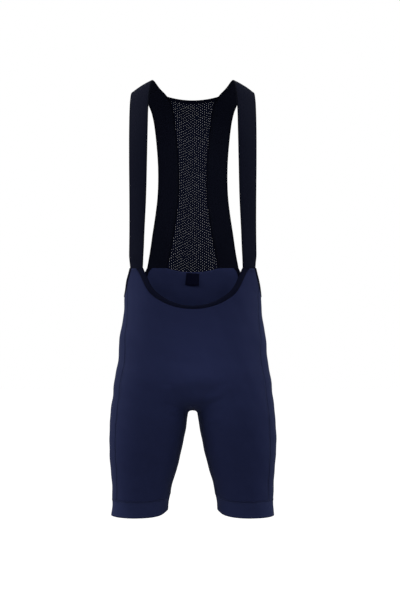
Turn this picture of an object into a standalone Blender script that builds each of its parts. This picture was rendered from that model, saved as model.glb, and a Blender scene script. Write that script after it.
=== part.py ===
"""Cycling bib shorts in their worn shape, empty, as one cloth wall for each cut piece.

Frame: metres, +Z up, +X to the viewer's right, the front faces -Y.
The origin lies midway between the crowns of the two shoulder straps, which hold the shorts up.
Inside this script every height is counted from the crotch; place() moves it to the frame.
"""
import math

import bpy
import numpy as np

# ---- driving sizes, in metres ------------------------------------------------------------
SHOULDER_HEIGHT = 0.703      # crotch to the crowns of the straps
HEM_HEIGHT = -0.2225         # hem of the legs, on their outer side
HEM_BAND = 0.034             # height of the gripper band at the hem
HEM_RISE = 0.009             # the hem is this much higher at the inner-leg seams
HEM_CREST = 0.003            # and this much more between them
WALL = 0.002                 # cloth of the shorts
STRAP_WALL = 0.002           # elastic of the straps and bindings
MESH_WALL = 0.0012           # knitted mesh of the back
SEAM_GAP = 0.0003            # left between two pieces that meet at a seam
LABEL = (0.030, 0.026, 0.001)            # width, height and thickness of the bare label
LABEL_STANDOFF = 0.0006      # between the label and the inside of the back panel

GUSSET_FRONT = 0.045         # half widths of the inner-leg panel under the crotch
GUSSET_BACK = 0.055
GUSSET_TAPER = 0.020         # it is this much narrower on each side at the hem
CORNER_SIDE_HEIGHT = 0.085   # outer end of the row that meets the crotch corner
ARCH_HEIGHT = -0.022         # below this the inner legs are straight tubes
HEM_LATE = 4.5               # power of the hem's late rise towards the inside of the leg

MESH_DIP = 0.008             # the mesh and what it meets dip this much in the middle
NECK_BINDING = 0.008
SHOULDER_SLOPE = 0.62        # fall of the shoulder line for each metre outwards
CROWN_X = 0.0847             # where the shoulder line is highest
CAP_BASE = 0.574             # where the chest starts to close over the shoulder
CAP_ROUND = 2.0
CAP_MIDDLE = 0.010           # the shoulder line lies this far behind the middle plane

# Sections of a general figure: height, half width, depth in front, depth behind.
TORSO = (
    (0.104, 0.1580, 0.1040, 0.1220),
    (0.150, 0.1562, 0.1070, 0.1140),
    (0.195, 0.1485, 0.1060, 0.1010),
    (0.240, 0.1452, 0.1040, 0.0930),
    (0.290, 0.1478, 0.1040, 0.0890),
    (0.340, 0.1540, 0.1070, 0.0900),
    (0.420, 0.1620, 0.1110, 0.0980),
    (0.500, 0.1680, 0.1130, 0.1080),
    (0.574, 0.1700, 0.1080, 0.1120),
)
TORSO_ROUND = 2.4
BOWL_ROUND = 2.7             # how square the seat is between its sides and its bottom

# Sections of one leg: height, inner and outer side from the middle plane, depths.
LEG = (
    (-0.222, 0.0540, 0.1735, 0.0650, 0.0700),
    (-0.192, 0.0500, 0.1719, 0.0680, 0.0730),
    (-0.158, 0.0434, 0.1720, 0.0720, 0.0770),
    (-0.124, 0.0334, 0.1747, 0.0770, 0.0830),
    (-0.090, 0.0247, 0.1774, 0.0830, 0.0890),
    (-0.056, 0.0179, 0.1776, 0.0880, 0.0950),
    (-0.020, 0.0115, 0.1760, 0.0920, 0.1010),
    (0.020, 0.0095, 0.1720, 0.0930, 0.1070),
    (0.060, 0.0180, 0.1628, 0.0880, 0.1050),
    (0.110, 0.0400, 0.1320, 0.0700, 0.0850),
    (0.150, 0.0600, 0.1100, 0.0500, 0.0600),
    (0.190, 0.0600, 0.1100, 0.0500, 0.0600),
    (0.240, 0.0600, 0.1100, 0.0500, 0.0600),
    (0.300, 0.0680, 0.1020, 0.0200, 0.0200),
)
LEG_ROUND = 2.2
BLEND_INNER = 0.012          # rounding where legs and seat meet, at the crotch
BLEND_OUTER = 0.036          # and away from it
BLEND_REACH = 0.070

# The line inside each half from which the rows are drawn: height, x.
SPINE = ((-0.222, 0.112), (-0.090, 0.100), (0.020, 0.088), (0.104, 0.075), (0.240, 0.068), (0.310, 0.068))

# How far the side panel's seams lie before and behind its middle: height, distance.
SIDE_SEAM = (
    (-0.2225, 0.0380),
    (-0.1835, 0.0440),
    (-0.0920, 0.0540),
    (0.0100, 0.0605),
    (0.0800, 0.0600),
    (0.1320, 0.0580),
    (0.1700, 0.0530),
    (0.2200, 0.0465),
    (0.2640, 0.0435),
)

# Front edge of the shorts from the middle to the strap: x, height, then the binding's free edge.
SCOOP = (
    (0.0000, 0.2155, 0.0000, 0.2215),
    (0.0200, 0.2168, 0.0200, 0.2232),
    (0.0400, 0.2212, 0.0398, 0.2285),
    (0.0575, 0.2275, 0.0565, 0.2362),
    (0.0700, 0.2340, 0.0675, 0.2432),
    (0.0800, 0.2405, 0.0762, 0.2502),
    (0.0885, 0.2485, 0.0832, 0.2580),
    (0.0960, 0.2590, 0.0890, 0.2670),
    (0.1030, 0.2725, 0.0942, 0.2785),
    (0.1105, 0.2880, 0.0995, 0.2900),
    (0.1180, 0.2997, 0.1040, 0.3000),
)
# Armhole edge of the front panel from the strap to the side seam, and its binding's free edge.
ARMHOLE_FRONT = (
    (0.1285, 0.2997, 0.1330, 0.3000),
    (0.1310, 0.2900, 0.1354, 0.2915),
    (0.1345, 0.2765, 0.1388, 0.2785),
    (0.1372, 0.2640, 0.1412, 0.2665),
)
# Back edge of the shorts from the middle to the side seam.
BACK_EDGE = (
    (0.0000, 0.2945),
    (0.0200, 0.2955),
    (0.0400, 0.2987),
    (0.0550, 0.3025),
    (0.0750, 0.3032),
    (0.0900, 0.3032),
    (0.0965, 0.2960),
    (0.1000, 0.2840),
    (0.1060, 0.2690),
    (0.1160, 0.2560),
    (0.1280, 0.2480),
    (0.1372, 0.2435),
)
BACK_CORNER_POINTS = 7       # the points of this edge from the side seam to the strap
# The armhole binding's free edge behind, for the last points of the back edge.
ARMHOLE_BACK = (
    (0.0993, 0.3032),
    (0.1050, 0.2915),
    (0.1120, 0.2800),
    (0.1215, 0.2680),
    (0.1320, 0.2570),
    (0.1400, 0.2495),
)
SIDE_TOP = 0.2395            # lowest point of the side panel's top edge
SIDE_BINDING = 0.0050

# The strap's stations from the front waist over the shoulder to the back waist:
# side (-1 front, 1 back), inner edge x and height, outer edge x and height.
STRAP = (
    (-1, 0.1040, 0.3003, 0.1330, 0.3003),
    (-1, 0.1018, 0.3300, 0.1322, 0.3300),
    (-1, 0.0995, 0.3800, 0.1313, 0.3800),
    (-1, 0.0964, 0.4415, 0.1312, 0.4415),
    (-1, 0.0943, 0.5240, 0.1318, 0.5240),
    (-1, 0.0930, 0.5910, 0.1320, 0.5880),
    (-1, 0.0922, 0.6350, 0.1319, 0.6280),
    (-1, 0.0896, 0.6750, 0.1313, 0.6560),
    (-1, 0.0847, 0.7030, 0.1285, 0.6758),
    (1, 0.0710, 0.6925, 0.1180, 0.6735),
    (1, 0.0558, 0.6786, 0.1000, 0.6640),
    (1, 0.0470, 0.6640, 0.0915, 0.6475),
    (1, 0.0412, 0.6400, 0.0862, 0.6275),
    (1, 0.0378, 0.6110, 0.0828, 0.6050),
    (1, 0.0342, 0.5800, 0.0797, 0.5760),
    (1, 0.0307, 0.5231, 0.0762, 0.5231),
    (1, 0.0313, 0.4530, 0.0776, 0.4560),
    (1, 0.0359, 0.4158, 0.0815, 0.4210),
    (1, 0.0416, 0.3742, 0.0875, 0.3800),
    (1, 0.0510, 0.3260, 0.0940, 0.3340),
    (1, 0.0550, 0.3029, 0.0993, 0.3036),
)
NECK_STATION = 10            # the station at the corner of the neckline
STRAP_BOW = 0.0018           # the strap's middle stands this far off its edges

# How many cells each piece has.
LEG_ROWS = 13
BODY_ROWS = 11
SCOOP_CELLS = 9
ARMHOLE_CELLS = 3
SIDE_CELLS = 6
BACK_FLAT_CELLS = 7
BACK_CORNER_CELLS = 6
GUSSET_CELLS = 6
BAND_ROWS = 2
STRAP_FRONT_ROWS = 14
STRAP_SHOULDER_ROWS = 4
STRAP_BACK_ROWS = 17
STRAP_CELLS = 3
MESH_CELLS = 8
LABEL_CELLS = 4

COLOURS = {
    "navy": ((0.0122, 0.0152, 0.0452), 0.62),
    "hem": ((0.0130, 0.0168, 0.0480), 0.58),
    "elastic": ((0.0056, 0.0066, 0.0122), 0.70),
    "mesh": ((0.0060, 0.0070, 0.0130), 0.75),
    "label": ((0.0030, 0.0038, 0.0080), 0.50),
}


# ---- curves and sections -----------------------------------------------------------------
def read(table, column, where):
    """A column of a table as a smooth curve over the table's first column."""
    rows = np.array(table, dtype=float)
    knots, values = rows[:, 0], rows[:, column]
    slopes = np.gradient(values, knots)
    where = np.clip(np.asarray(where, dtype=float), knots[0], knots[-1])
    cell = np.clip(np.searchsorted(knots, where) - 1, 0, len(knots) - 2)
    span = knots[cell + 1] - knots[cell]
    s = (where - knots[cell]) / span
    start, end = values[cell], values[cell + 1]
    lean_in, lean_out = slopes[cell] * span, slopes[cell + 1] * span
    return (start * (1 + 2 * s) * (1 - s) ** 2 + end * s ** 2 * (3 - 2 * s)
            + lean_in * s * (1 - s) ** 2 - lean_out * s ** 2 * (1 - s))


def spread(points, count):
    """A smooth curve through the points, cut into count equal lengths."""
    points = np.asarray(points, dtype=float)
    steps = np.linalg.norm(np.diff(points, axis=0), axis=1)
    knots = np.concatenate(([0.0], np.cumsum(steps)))
    fine = np.linspace(0.0, knots[-1], 40 * len(points))
    table = np.column_stack((knots, points))
    curve = np.column_stack([read(table, column + 1, fine) for column in range(points.shape[1])])
    lengths = np.concatenate(([0.0], np.cumsum(np.linalg.norm(np.diff(curve, axis=0), axis=1))))
    even = np.linspace(0.0, lengths[-1], count + 1)
    return np.column_stack([np.interp(even, lengths, curve[:, axis]) for axis in range(points.shape[1])])


def even_along(curve, count):
    """Values of s from 0 to 1 that cut curve(s) into count equal lengths, with their points."""
    s = np.linspace(0.0, 1.0, 400)
    points = curve(s)
    lengths = np.concatenate(([0.0], np.cumsum(np.linalg.norm(np.diff(points, axis=0), axis=1))))
    return curve(np.interp(np.linspace(0.0, lengths[-1], count + 1), lengths, s))


def smooth_min(a, b, reach):
    """The smaller of two fields, rounded where they are closer than reach."""
    h = np.clip(1.0 - np.abs(a - b) / reach, 0.0, 1.0)
    return np.minimum(a, b) - h * h * reach / 4.0


# ---- the worn surface --------------------------------------------------------------------
def torso_field(x, y, height):
    half, front, back = (read(TORSO, column, height) for column in (1, 2, 3))
    depth = np.where(y < 0.0, front, back)
    below = np.clip(TORSO[0][0] - height, 0.0, None) / TORSO[0][0]
    total = (np.abs(x) / half) ** TORSO_ROUND + (np.abs(y) / depth) ** TORSO_ROUND + below ** BOWL_ROUND
    return (total ** (1.0 / TORSO_ROUND) - 1.0) * half


def leg_field(x, y, height):
    inner, outer, front, back = (read(LEG, column, height) for column in (1, 2, 3, 4))
    middle, half = (inner + outer) / 2.0, (outer - inner) / 2.0
    depth = np.where(y < 0.0, front, back)
    total = (np.abs(x - middle) / half) ** LEG_ROUND + (np.abs(y) / depth) ** LEG_ROUND
    return (total ** (1.0 / LEG_ROUND) - 1.0) * half


def field(points):
    """Below zero inside the worn shorts, zero on their outside."""
    x, y, height = points[..., 0], points[..., 1], points[..., 2]
    ease = np.clip(np.abs(x) / BLEND_REACH, 0.0, 1.0)
    reach = BLEND_INNER + (BLEND_OUTER - BLEND_INNER) * ease * ease * (3.0 - 2.0 * ease)
    legs = smooth_min(leg_field(x, y, height), leg_field(-x, y, height), reach)
    return smooth_min(torso_field(x, y, height), legs, reach)


def field_normals(points):
    step = 0.0004
    parts = []
    for axis in np.eye(3):
        parts.append(field(points + axis * step) - field(points - axis * step))
    normals = np.stack(parts, axis=-1)
    return normals / np.linalg.norm(normals, axis=-1, keepdims=True)


def hit(origin, direction, reach):
    """Where rays from origin along direction, no longer than reach, cross the surface."""
    origin, direction = np.broadcast_arrays(np.asarray(origin, float), np.asarray(direction, float))
    low = np.zeros(origin.shape[:-1])
    high = np.broadcast_to(np.asarray(reach, float), low.shape).copy()
    inside = field(origin) < 0.0
    for _ in range(46):
        middle = (low + high) / 2.0
        same = (field(origin + direction * middle[..., None]) < 0.0) == inside
        low = np.where(same, middle, low)
        high = np.where(same, high, middle)
    return origin + direction * low[..., None]


def spine(height):
    return read(SPINE, 1, height)


def on_skin(angle, height):
    """The point at an angle round the half's own line: 0 outwards, -pi/2 in front."""
    start = spine(height)
    origin = np.stack((start, np.zeros_like(start), height), axis=-1)
    direction = np.stack((np.cos(angle), np.sin(angle), np.zeros_like(angle)), axis=-1)
    inward = np.maximum(-np.cos(angle), 1e-6)
    return hit(origin, direction, np.minimum(0.24, start / inward))


def angle_of(points):
    return np.arctan2(points[..., 1], points[..., 0] - spine(points[..., 2]))


def figure_depth(x, height, side):
    """The y of the figure's front (side -1) or back (side 1), closed over the shoulder."""
    x, height = np.asarray(x, float), np.asarray(height, float)
    lift = SHOULDER_SLOPE * (np.maximum(x, 0.060) - CROWN_X)
    rise = np.clip((height - 0.50) / (CAP_BASE - 0.50), 0.0, 1.0)
    level = height + lift * rise
    depth = read(TORSO, 2 if side < 0 else 3, level)
    half = read(TORSO, 1, level)
    closing = np.clip((level - CAP_BASE) / (SHOULDER_HEIGHT - CAP_BASE), 0.0, 1.0) ** CAP_ROUND
    share = (1.0 - closing) ** (1.0 / CAP_ROUND)
    reach = depth * (1.0 - np.clip(np.abs(x) / half, 0.0, 1.0) ** TORSO_ROUND) ** (1.0 / TORSO_ROUND)
    middle = CAP_MIDDLE * np.clip((level - CAP_BASE) / (SHOULDER_HEIGHT - CAP_BASE), 0.0, 1.0)
    return middle + side * reach * share


def figure_points(pairs, side):
    """Points of the figure's front or back at pairs of x and height."""
    pairs = np.asarray(pairs, dtype=float)
    return np.column_stack((pairs[:, 0], figure_depth(pairs[:, 0], pairs[:, 1], side), pairs[:, 1]))


# ---- lines that the panels share ---------------------------------------------------------
def gusset_edge(height, side):
    """The y of the inner-leg panel's seam, in front (side -1) or behind (side 1)."""
    half = GUSSET_FRONT if side < 0 else GUSSET_BACK
    down = np.clip(-height / -HEM_HEIGHT, 0.0, 1.0)
    return side * (half - GUSSET_TAPER * down)


def arch(y, height, angle):
    """A point of the inner leg or of the crotch arch, seen from the gap between the legs."""
    origin = np.stack((np.zeros_like(y), y, height), axis=-1)
    direction = np.stack((np.cos(angle), np.zeros_like(angle), np.sin(angle)), axis=-1)
    return hit(origin, direction, 0.090)


def gusset_seam(side, count):
    """The inner-leg seam from the hem band to the middle of the crotch."""
    start = HEM_HEIGHT + HEM_BAND + HEM_RISE

    def curve(s):
        height = start + (ARCH_HEIGHT - start) * np.clip(s / 0.7, 0.0, 1.0)
        angle = np.clip((s - 0.7) / 0.3, 0.0, 1.0) * math.pi / 2
        return arch(gusset_edge(height, side), height, angle)
    seam = even_along(curve, count)
    seam[-1, 0] = 0.0
    return seam


def middle_line(side, start, top, count):
    """The line down the middle of the front or the back, from the crotch up."""
    pivot = 0.090
    first = math.atan2(pivot - start[2], abs(start[1]))

    def curve(s):
        turn = first * (1.0 - np.clip(s / 0.5, 0.0, 1.0))
        height = pivot + (top - pivot) * np.clip((s - 0.5) / 0.5, 0.0, 1.0)
        origin = np.stack((np.zeros_like(s), np.zeros_like(s), height), axis=-1)
        direction = np.stack((np.zeros_like(s), side * np.cos(turn), -np.sin(turn)), axis=-1)
        return hit(origin, direction, 0.20)
    return even_along(curve, count)


def side_seam(heights, side):
    """The side panel's seam in front or behind, at the given heights."""
    origin = np.stack((spine(heights), side * read(SIDE_SEAM, 1, heights), heights), axis=-1)
    return hit(origin, (1.0, 0.0, 0.0), 0.20)


def lean(t, row):
    """How a row rises from its side seam to its inner end: late at the hem, evenly higher up."""
    up = min(row / LEG_ROWS, 1.0)
    return t ** (HEM_LATE + (1.0 - HEM_LATE) * up)


def panel_rows(seam, ends, top_edge):
    """A half panel: rows from its side seam to its inner end, the last one along top_edge."""
    columns = len(top_edge) - 1
    t = np.linspace(0.0, 1.0, columns + 1)
    top_angle = angle_of(top_edge)
    top_share = (top_angle - top_angle[0]) / (top_angle[-1] - top_angle[0])
    straight = top_edge[0, 2] + (top_edge[-1, 2] - top_edge[0, 2]) * t
    rows = []
    for row, (first, last) in enumerate(zip(seam, ends)):
        weight = max(0.0, (row - LEG_ROWS) / BODY_ROWS)
        share = t + (top_share - t) * weight
        first_angle, last_angle = angle_of(first), angle_of(last)
        height = first[2] + (last[2] - first[2]) * lean(t, row) + (top_edge[:, 2] - straight) * weight ** 1.5
        points = on_skin(first_angle + (last_angle - first_angle) * share, height)
        points[0], points[-1] = first, last
        rows.append(points)
    return np.array(rows)


# ---- walls -------------------------------------------------------------------------------
def grid_quads(rows, columns):
    index = np.arange((rows + 1) * (columns + 1)).reshape(rows + 1, columns + 1)
    corners = (index[:-1, :-1], index[:-1, 1:], index[1:, 1:], index[1:, :-1])
    return np.stack(corners, axis=-1).reshape(-1, 4)


def trim(grid, sides):
    """Pulls a grid's named sides in by half of the seam's gap."""
    out = grid.copy()
    edges = {"bottom": ((0,), (1,)), "top": ((-1,), (-2,)),
             "left": ((slice(None), 0), (slice(None), 1)), "right": ((slice(None), -1), (slice(None), -2))}
    for side in sides:
        edge, beside = edges[side]
        step = grid[beside] - grid[edge]
        out[edge] += step / np.linalg.norm(step, axis=-1, keepdims=True) * SEAM_GAP / 2.0
    return out


def grid_normals(grid):
    along = np.gradient(grid, axis=0)
    across = np.gradient(grid, axis=1)
    normals = np.cross(across, along)
    return normals / np.linalg.norm(normals, axis=-1, keepdims=True)


def mirrored(points, normals, quads):
    """Adds the other half and joins the two where they meet in the middle."""
    flip = np.array((-1.0, 1.0, 1.0))
    count = len(points)
    middle = np.abs(points[:, 0]) < 1e-7
    target = np.arange(count) + count
    target[middle] = np.arange(count)[middle]
    normals = normals.copy()
    normals[middle, 0] = 0.0
    points = points.copy()
    points[middle, 0] = 0.0
    kept = ~middle
    renumber = np.full(2 * count, -1)
    renumber[:count] = np.arange(count)
    renumber[count:][kept] = count + np.arange(kept.sum())
    other = renumber[target[quads]][:, ::-1]
    points = np.vstack((points, (points * flip)[kept]))
    normals = np.vstack((normals, (normals * flip)[kept]))
    return points, normals, np.vstack((quads, other))


def place(points):
    return points - np.array((0.0, 0.0, SHOULDER_HEIGHT))


def add_piece(name, points, normals, quads, thickness, finish):
    """One closed cloth wall: its outside through the points, its inside one wall deeper."""
    normals = normals / np.linalg.norm(normals, axis=-1, keepdims=True)
    count = len(points)
    vertices = np.vstack((points, points - normals * thickness))
    first, third = quads[:, 0], quads[:, 2]
    corner = np.cross(points[quads[:, 1]] - points[first], points[third] - points[first])
    if np.einsum("ij,ij->i", corner, normals[first]).sum() < 0.0:
        quads = quads[:, ::-1]
    faces = [tuple(quad) for quad in quads.tolist()]
    edges = {}
    for face in faces:
        for a, b in zip(face, face[1:] + face[:1]):
            edges[(a, b)] = edges.get((b, a), 0) + 1
    rim = [(a, b) for (a, b) in edges if (b, a) not in edges]
    inner = [tuple(corner + count for corner in face[::-1]) for face in faces]
    border = [(b, a, a + count, b + count) for a, b in rim]
    mesh = bpy.data.meshes.new(name)
    mesh.from_pydata(place(vertices).tolist(), [], faces + inner + border)
    mesh.shade_smooth()
    mesh.set_sharp_from_angle(angle=math.radians(40))
    mesh.materials.append(material(finish))
    piece = bpy.data.objects.new(name, mesh)
    bpy.context.collection.objects.link(piece)
    return piece


def material(finish):
    found = bpy.data.materials.get(finish)
    if found:
        return found
    colour, roughness = COLOURS[finish]
    made = bpy.data.materials.new(finish)
    made.use_nodes = True
    shader = made.node_tree.nodes["Principled BSDF"]
    shader.inputs["Base Color"].default_value = (*colour, 1.0)
    shader.inputs["Roughness"].default_value = roughness
    shader.inputs["Metallic"].default_value = 0.0
    made.diffuse_color = (*colour, 1.0)
    return made


def add_skin(name, grid, sides, thickness, finish, mirror=1, both=False):
    """A piece of the worn surface from one grid: on one side, mirrored, or both joined."""
    shaped = trim(grid, sides)
    points = shaped.reshape(-1, 3)
    normals = field_normals(grid).reshape(-1, 3)
    quads = grid_quads(grid.shape[0] - 1, grid.shape[1] - 1)
    if both:
        points, normals, quads = mirrored(points, normals, quads)
    if mirror < 0:
        points, normals = points * (-1.0, 1.0, 1.0), normals * (-1.0, 1.0, 1.0)
    return add_piece(name, points, normals, quads, thickness, finish)


# ---- the shorts --------------------------------------------------------------------------
def front_top_edge():
    """From the side seam up the armhole, over the strap's tongue and down the scoop."""
    armhole = spread(np.array(ARMHOLE_FRONT)[::-1, :2], ARMHOLE_CELLS)
    scoop = spread(np.array(SCOOP)[::-1, :2], SCOOP_CELLS)
    return figure_points(np.vstack((armhole, scoop)), -1)


def back_top_edge():
    rows = np.array(BACK_EDGE)[::-1]
    corner = spread(rows[:BACK_CORNER_POINTS], BACK_CORNER_CELLS)
    flat = spread(rows[BACK_CORNER_POINTS - 1:], BACK_FLAT_CELLS)
    return figure_points(np.vstack((corner[:-1], flat)), 1)


def side_rows(front_seam, back_seam):
    """The side panel: straight rows whose top one sinks to the armhole's lowest point."""
    t = np.linspace(0.0, 1.0, SIDE_CELLS + 1)
    last = len(front_seam) - 1
    rows = []
    for row, (first, end) in enumerate(zip(front_seam, back_seam)):
        weight = max(0.0, (row - LEG_ROWS) / BODY_ROWS) ** 1.5
        straight = first[2] + (end[2] - first[2]) * t
        sunk = SIDE_TOP + (straight - SIDE_TOP) * (2.0 * t - 1.0) ** 2
        height = straight + (sunk - straight) * weight * (row / last)
        first_angle, end_angle = angle_of(first), angle_of(end)
        points = on_skin(first_angle + (end_angle - first_angle) * t, height)
        points[0], points[-1] = first, end
        rows.append(points)
    return np.array(rows)


def gusset_rows(front_seam, back_seam):
    """The inner-leg panel of one leg, up to the middle of the crotch."""
    t = np.linspace(0.0, 1.0, GUSSET_CELLS + 1)
    rows = []
    for row, (first, end) in enumerate(zip(front_seam, back_seam)):
        spots = []
        for point in (first, end):
            rise = max(point[2] - ARCH_HEIGHT, 0.0)
            spots.append((point[1], min(point[2], ARCH_HEIGHT), math.atan2(rise, point[0])))
        y, height, angle = (spots[0][k] + (spots[1][k] - spots[0][k]) * t for k in range(3))
        height = height + HEM_CREST * 4.0 * t * (1.0 - t) * max(0.0, 1.0 - row / (LEG_ROWS / 2))
        points = arch(y, height, angle)
        points[0], points[-1] = first, end
        rows.append(points)
    rows = np.array(rows)
    rows[-1, :, 0] = 0.0
    return rows


def hem_ring(panels, drop):
    """One ring round the leg below the panels' first rows, closed on itself."""
    front, side, back, gusset = (panel[0] for panel in panels)
    ring = np.vstack((front[::-1][:-1], side[:-1], back[:-1], gusset[::-1][:-1]))
    height = ring[:, 2] - drop
    middle = read(LEG, 1, height) / 2.0 + read(LEG, 2, height) / 2.0
    origin = np.stack((middle, np.zeros_like(middle), height), axis=-1)
    start = read(LEG, 1, ring[:, 2]) / 2.0 + read(LEG, 2, ring[:, 2]) / 2.0
    angle = np.arctan2(ring[:, 1], ring[:, 0] - start)
    direction = np.stack((np.cos(angle), np.sin(angle), np.zeros_like(angle)), axis=-1)
    return hit(origin, direction, 0.12)


def add_hem_band(name, panels, mirror):
    rings = np.array([hem_ring(panels, HEM_BAND * k / BAND_ROWS) for k in range(BAND_ROWS + 1)])
    shaped = rings.copy()
    step = rings[1] - rings[0]
    shaped[0] += step / np.linalg.norm(step, axis=-1, keepdims=True) * SEAM_GAP / 2.0
    count = rings.shape[1]
    quads = []
    for row in range(BAND_ROWS):
        for column in range(count):
            beside = (column + 1) % count
            quads.append((row * count + column, row * count + beside,
                          (row + 1) * count + beside, (row + 1) * count + column))
    points = shaped.reshape(-1, 3) * (mirror, 1.0, 1.0)
    normals = field_normals(rings).reshape(-1, 3) * (mirror, 1.0, 1.0)
    return add_piece(name, points, normals, np.array(quads), WALL, "hem")


def strip_between(lower, upper):
    """A binding's grid: the edge that it is sewn to, its middle and its free edge."""
    return np.array((lower, (lower + upper) / 2.0, upper))


def on_torso(points, side):
    """Moves points back onto the figure, keeping their x and height."""
    moved = points.copy()
    moved[..., 1] = figure_depth(points[..., 0], points[..., 2], side)
    return moved


def build_shorts():
    front_edge, back_edge = front_top_edge(), back_top_edge()
    leg_share = np.linspace(0.0, 1.0, LEG_ROWS + 1)
    body_share = np.linspace(0.0, 1.0, BODY_ROWS + 1)[1:]
    start = HEM_HEIGHT + HEM_BAND
    lower = start + (CORNER_SIDE_HEIGHT - start) * leg_share
    seams, ends = {}, {}
    for side, edge in ((-1, front_edge), (1, back_edge)):
        upper = CORNER_SIDE_HEIGHT + (edge[0, 2] - CORNER_SIDE_HEIGHT) * body_share
        seams[side] = side_seam(np.concatenate((lower, upper)), side)
        seams[side][-1] = edge[0]
        below = gusset_seam(side, LEG_ROWS)
        above = middle_line(side, below[-1], edge[-1, 2], BODY_ROWS)[1:]
        ends[side] = np.vstack((below, above))
    front = panel_rows(seams[-1], ends[-1], front_edge)
    back = panel_rows(seams[1], ends[1], back_edge)
    side = side_rows(seams[-1], seams[1])
    gusset = gusset_rows(ends[-1][:LEG_ROWS + 1], ends[1][:LEG_ROWS + 1])
    add_panels(front, back, side, gusset)
    add_bindings(front, side, back)
    add_label(back)


def add_half_panel(name, grid):
    """The front or the back: both halves in one piece, split only below the crotch."""
    shaped = trim(grid, ("bottom", "top", "left"))
    seam = slice(0, LEG_ROWS + 1)
    step = grid[seam, -2] - grid[seam, -1]
    step[-1] = grid[LEG_ROWS + 1, -1] - grid[LEG_ROWS, -1]
    shaped[seam, -1] += step / np.linalg.norm(step, axis=-1, keepdims=True) * SEAM_GAP / 2.0
    points = shaped.reshape(-1, 3)
    normals = field_normals(grid).reshape(-1, 3)
    quads = grid_quads(grid.shape[0] - 1, grid.shape[1] - 1)
    add_piece(name, *mirrored(points, normals, quads), WALL, "navy")


def add_panels(front, back, side, gusset):
    add_half_panel("front_panel", front)
    add_half_panel("back_panel", back)
    add_skin("inner_leg_panel", gusset, ("bottom", "left", "right"), WALL, "navy", both=True)
    for hand, mirror in (("left", -1), ("right", 1)):
        add_skin(f"side_panel_{hand}", side, ("bottom", "top", "left", "right"), WALL, "navy", mirror)
        add_hem_band(f"hem_band_{hand}", (front, side, back, gusset), mirror)


def add_bindings(front, side, back):
    """The scoop's binding in front, and one binding round the foot of each armhole."""
    scoop_free = figure_points(spread(np.array(SCOOP)[::-1, 2:], SCOOP_CELLS), -1)
    scoop_sewn = front[-1, -(SCOOP_CELLS + 1):]
    scoop = on_torso(strip_between(scoop_sewn, scoop_free), -1)
    scoop[0] = scoop_sewn
    add_skin("scoop_binding", scoop, ("bottom", "left"), STRAP_WALL, "elastic", both=True)

    front_free = figure_points(spread(np.array(ARMHOLE_FRONT)[:, 2:], ARMHOLE_CELLS), -1)
    back_free = figure_points(spread(np.array(ARMHOLE_BACK)[::-1], BACK_CORNER_CELLS), 1)
    t = np.linspace(0.0, 1.0, SIDE_CELLS + 1)
    height = side[-1, :, 2] + SIDE_BINDING
    height += (front_free[-1, 2] - height[0]) * (1 - t) ** 3 + (back_free[0, 2] - height[-1]) * t ** 3
    angle = np.interp(t, (0.0, 1.0), (angle_of(front_free[-1]), angle_of(back_free[0])))
    side_free = on_skin(angle, height)
    sewn = np.vstack((front[-1, :ARMHOLE_CELLS + 1][::-1][:-1], side[-1][:-1],
                      back[-1, :BACK_CORNER_CELLS + 1]))
    free = np.vstack((front_free[:-1], side_free[:-1], back_free))
    armhole = strip_between(sewn, free)
    for hand, mirror in (("left", -1), ("right", 1)):
        add_skin(f"armhole_binding_{hand}", armhole, ("bottom", "left", "right"), STRAP_WALL,
                 "elastic", mirror)


def add_label(back):
    """A bare label inside the middle of the back, hanging from its top edge."""
    width, height, thickness = LABEL
    top = back[-1, -1, 2] - 0.0015
    across = np.linspace(-width / 2, width / 2, LABEL_CELLS + 1)
    down = np.linspace(top - height, top, LABEL_CELLS + 1)
    x, level = np.meshgrid(across, down)
    y = figure_depth(np.abs(x), level, 1)
    grid = np.stack((x, y, level), axis=-1)
    normals = field_normals(grid)
    grid = grid - normals * (WALL + LABEL_STANDOFF)
    quads = grid_quads(LABEL_CELLS, LABEL_CELLS)
    add_piece("label", grid.reshape(-1, 3), normals.reshape(-1, 3), quads, thickness, "label")


# ---- straps and mesh back ----------------------------------------------------------------
def strap_edges():
    """The strap's inner and outer edge, each in three stretches of even rows."""
    edges = []
    for first in (1, 3):
        points = [(row[first], figure_depth(row[first], row[first + 1], row[0]), row[first + 1])
                  for row in STRAP]
        edges.append(np.array(points, dtype=float))
    both = np.hstack(edges)
    steps = np.linalg.norm(np.diff(both, axis=0), axis=1)
    knots = np.concatenate(([0.0], np.cumsum(steps)))
    table = np.column_stack((knots, both))
    crown = next(k for k, row in enumerate(STRAP) if row[0] > 0) - 1
    spans = ((0, crown, STRAP_FRONT_ROWS), (crown, NECK_STATION, STRAP_SHOULDER_ROWS),
             (NECK_STATION, len(STRAP) - 1, STRAP_BACK_ROWS))
    where = [np.linspace(knots[a], knots[b], count + 1)[1:] for a, b, count in spans]
    where = np.concatenate(([0.0], *where))
    curve = np.column_stack([read(table, column, where) for column in range(1, 7)])
    return curve[:, :3], curve[:, 3:]


def strap_grid():
    """The strap's underside, which bows off the figure between its edges."""
    inner, outer = strap_edges()
    t = np.linspace(0.0, 1.0, STRAP_CELLS + 1)[None, :, None]
    grid = inner[:, None] * (1.0 - t) + outer[:, None] * t
    return grid + grid_normals(grid) * STRAP_BOW * 4.0 * t * (1.0 - t)


def back_sheet(inner, cells):
    """Rows from one strap's inner edge to the other, dipping in the middle."""
    s = np.linspace(-1.0, 1.0, cells + 1)
    rows = []
    for x, y, height in inner:
        level = height - MESH_DIP * (1.0 - s * s)
        bulge = figure_depth(np.abs(x * s), level, 1) - figure_depth(x, level, 1)
        rows.append(np.stack((x * s, y + bulge, level), axis=-1))
    return np.array(rows)


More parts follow.
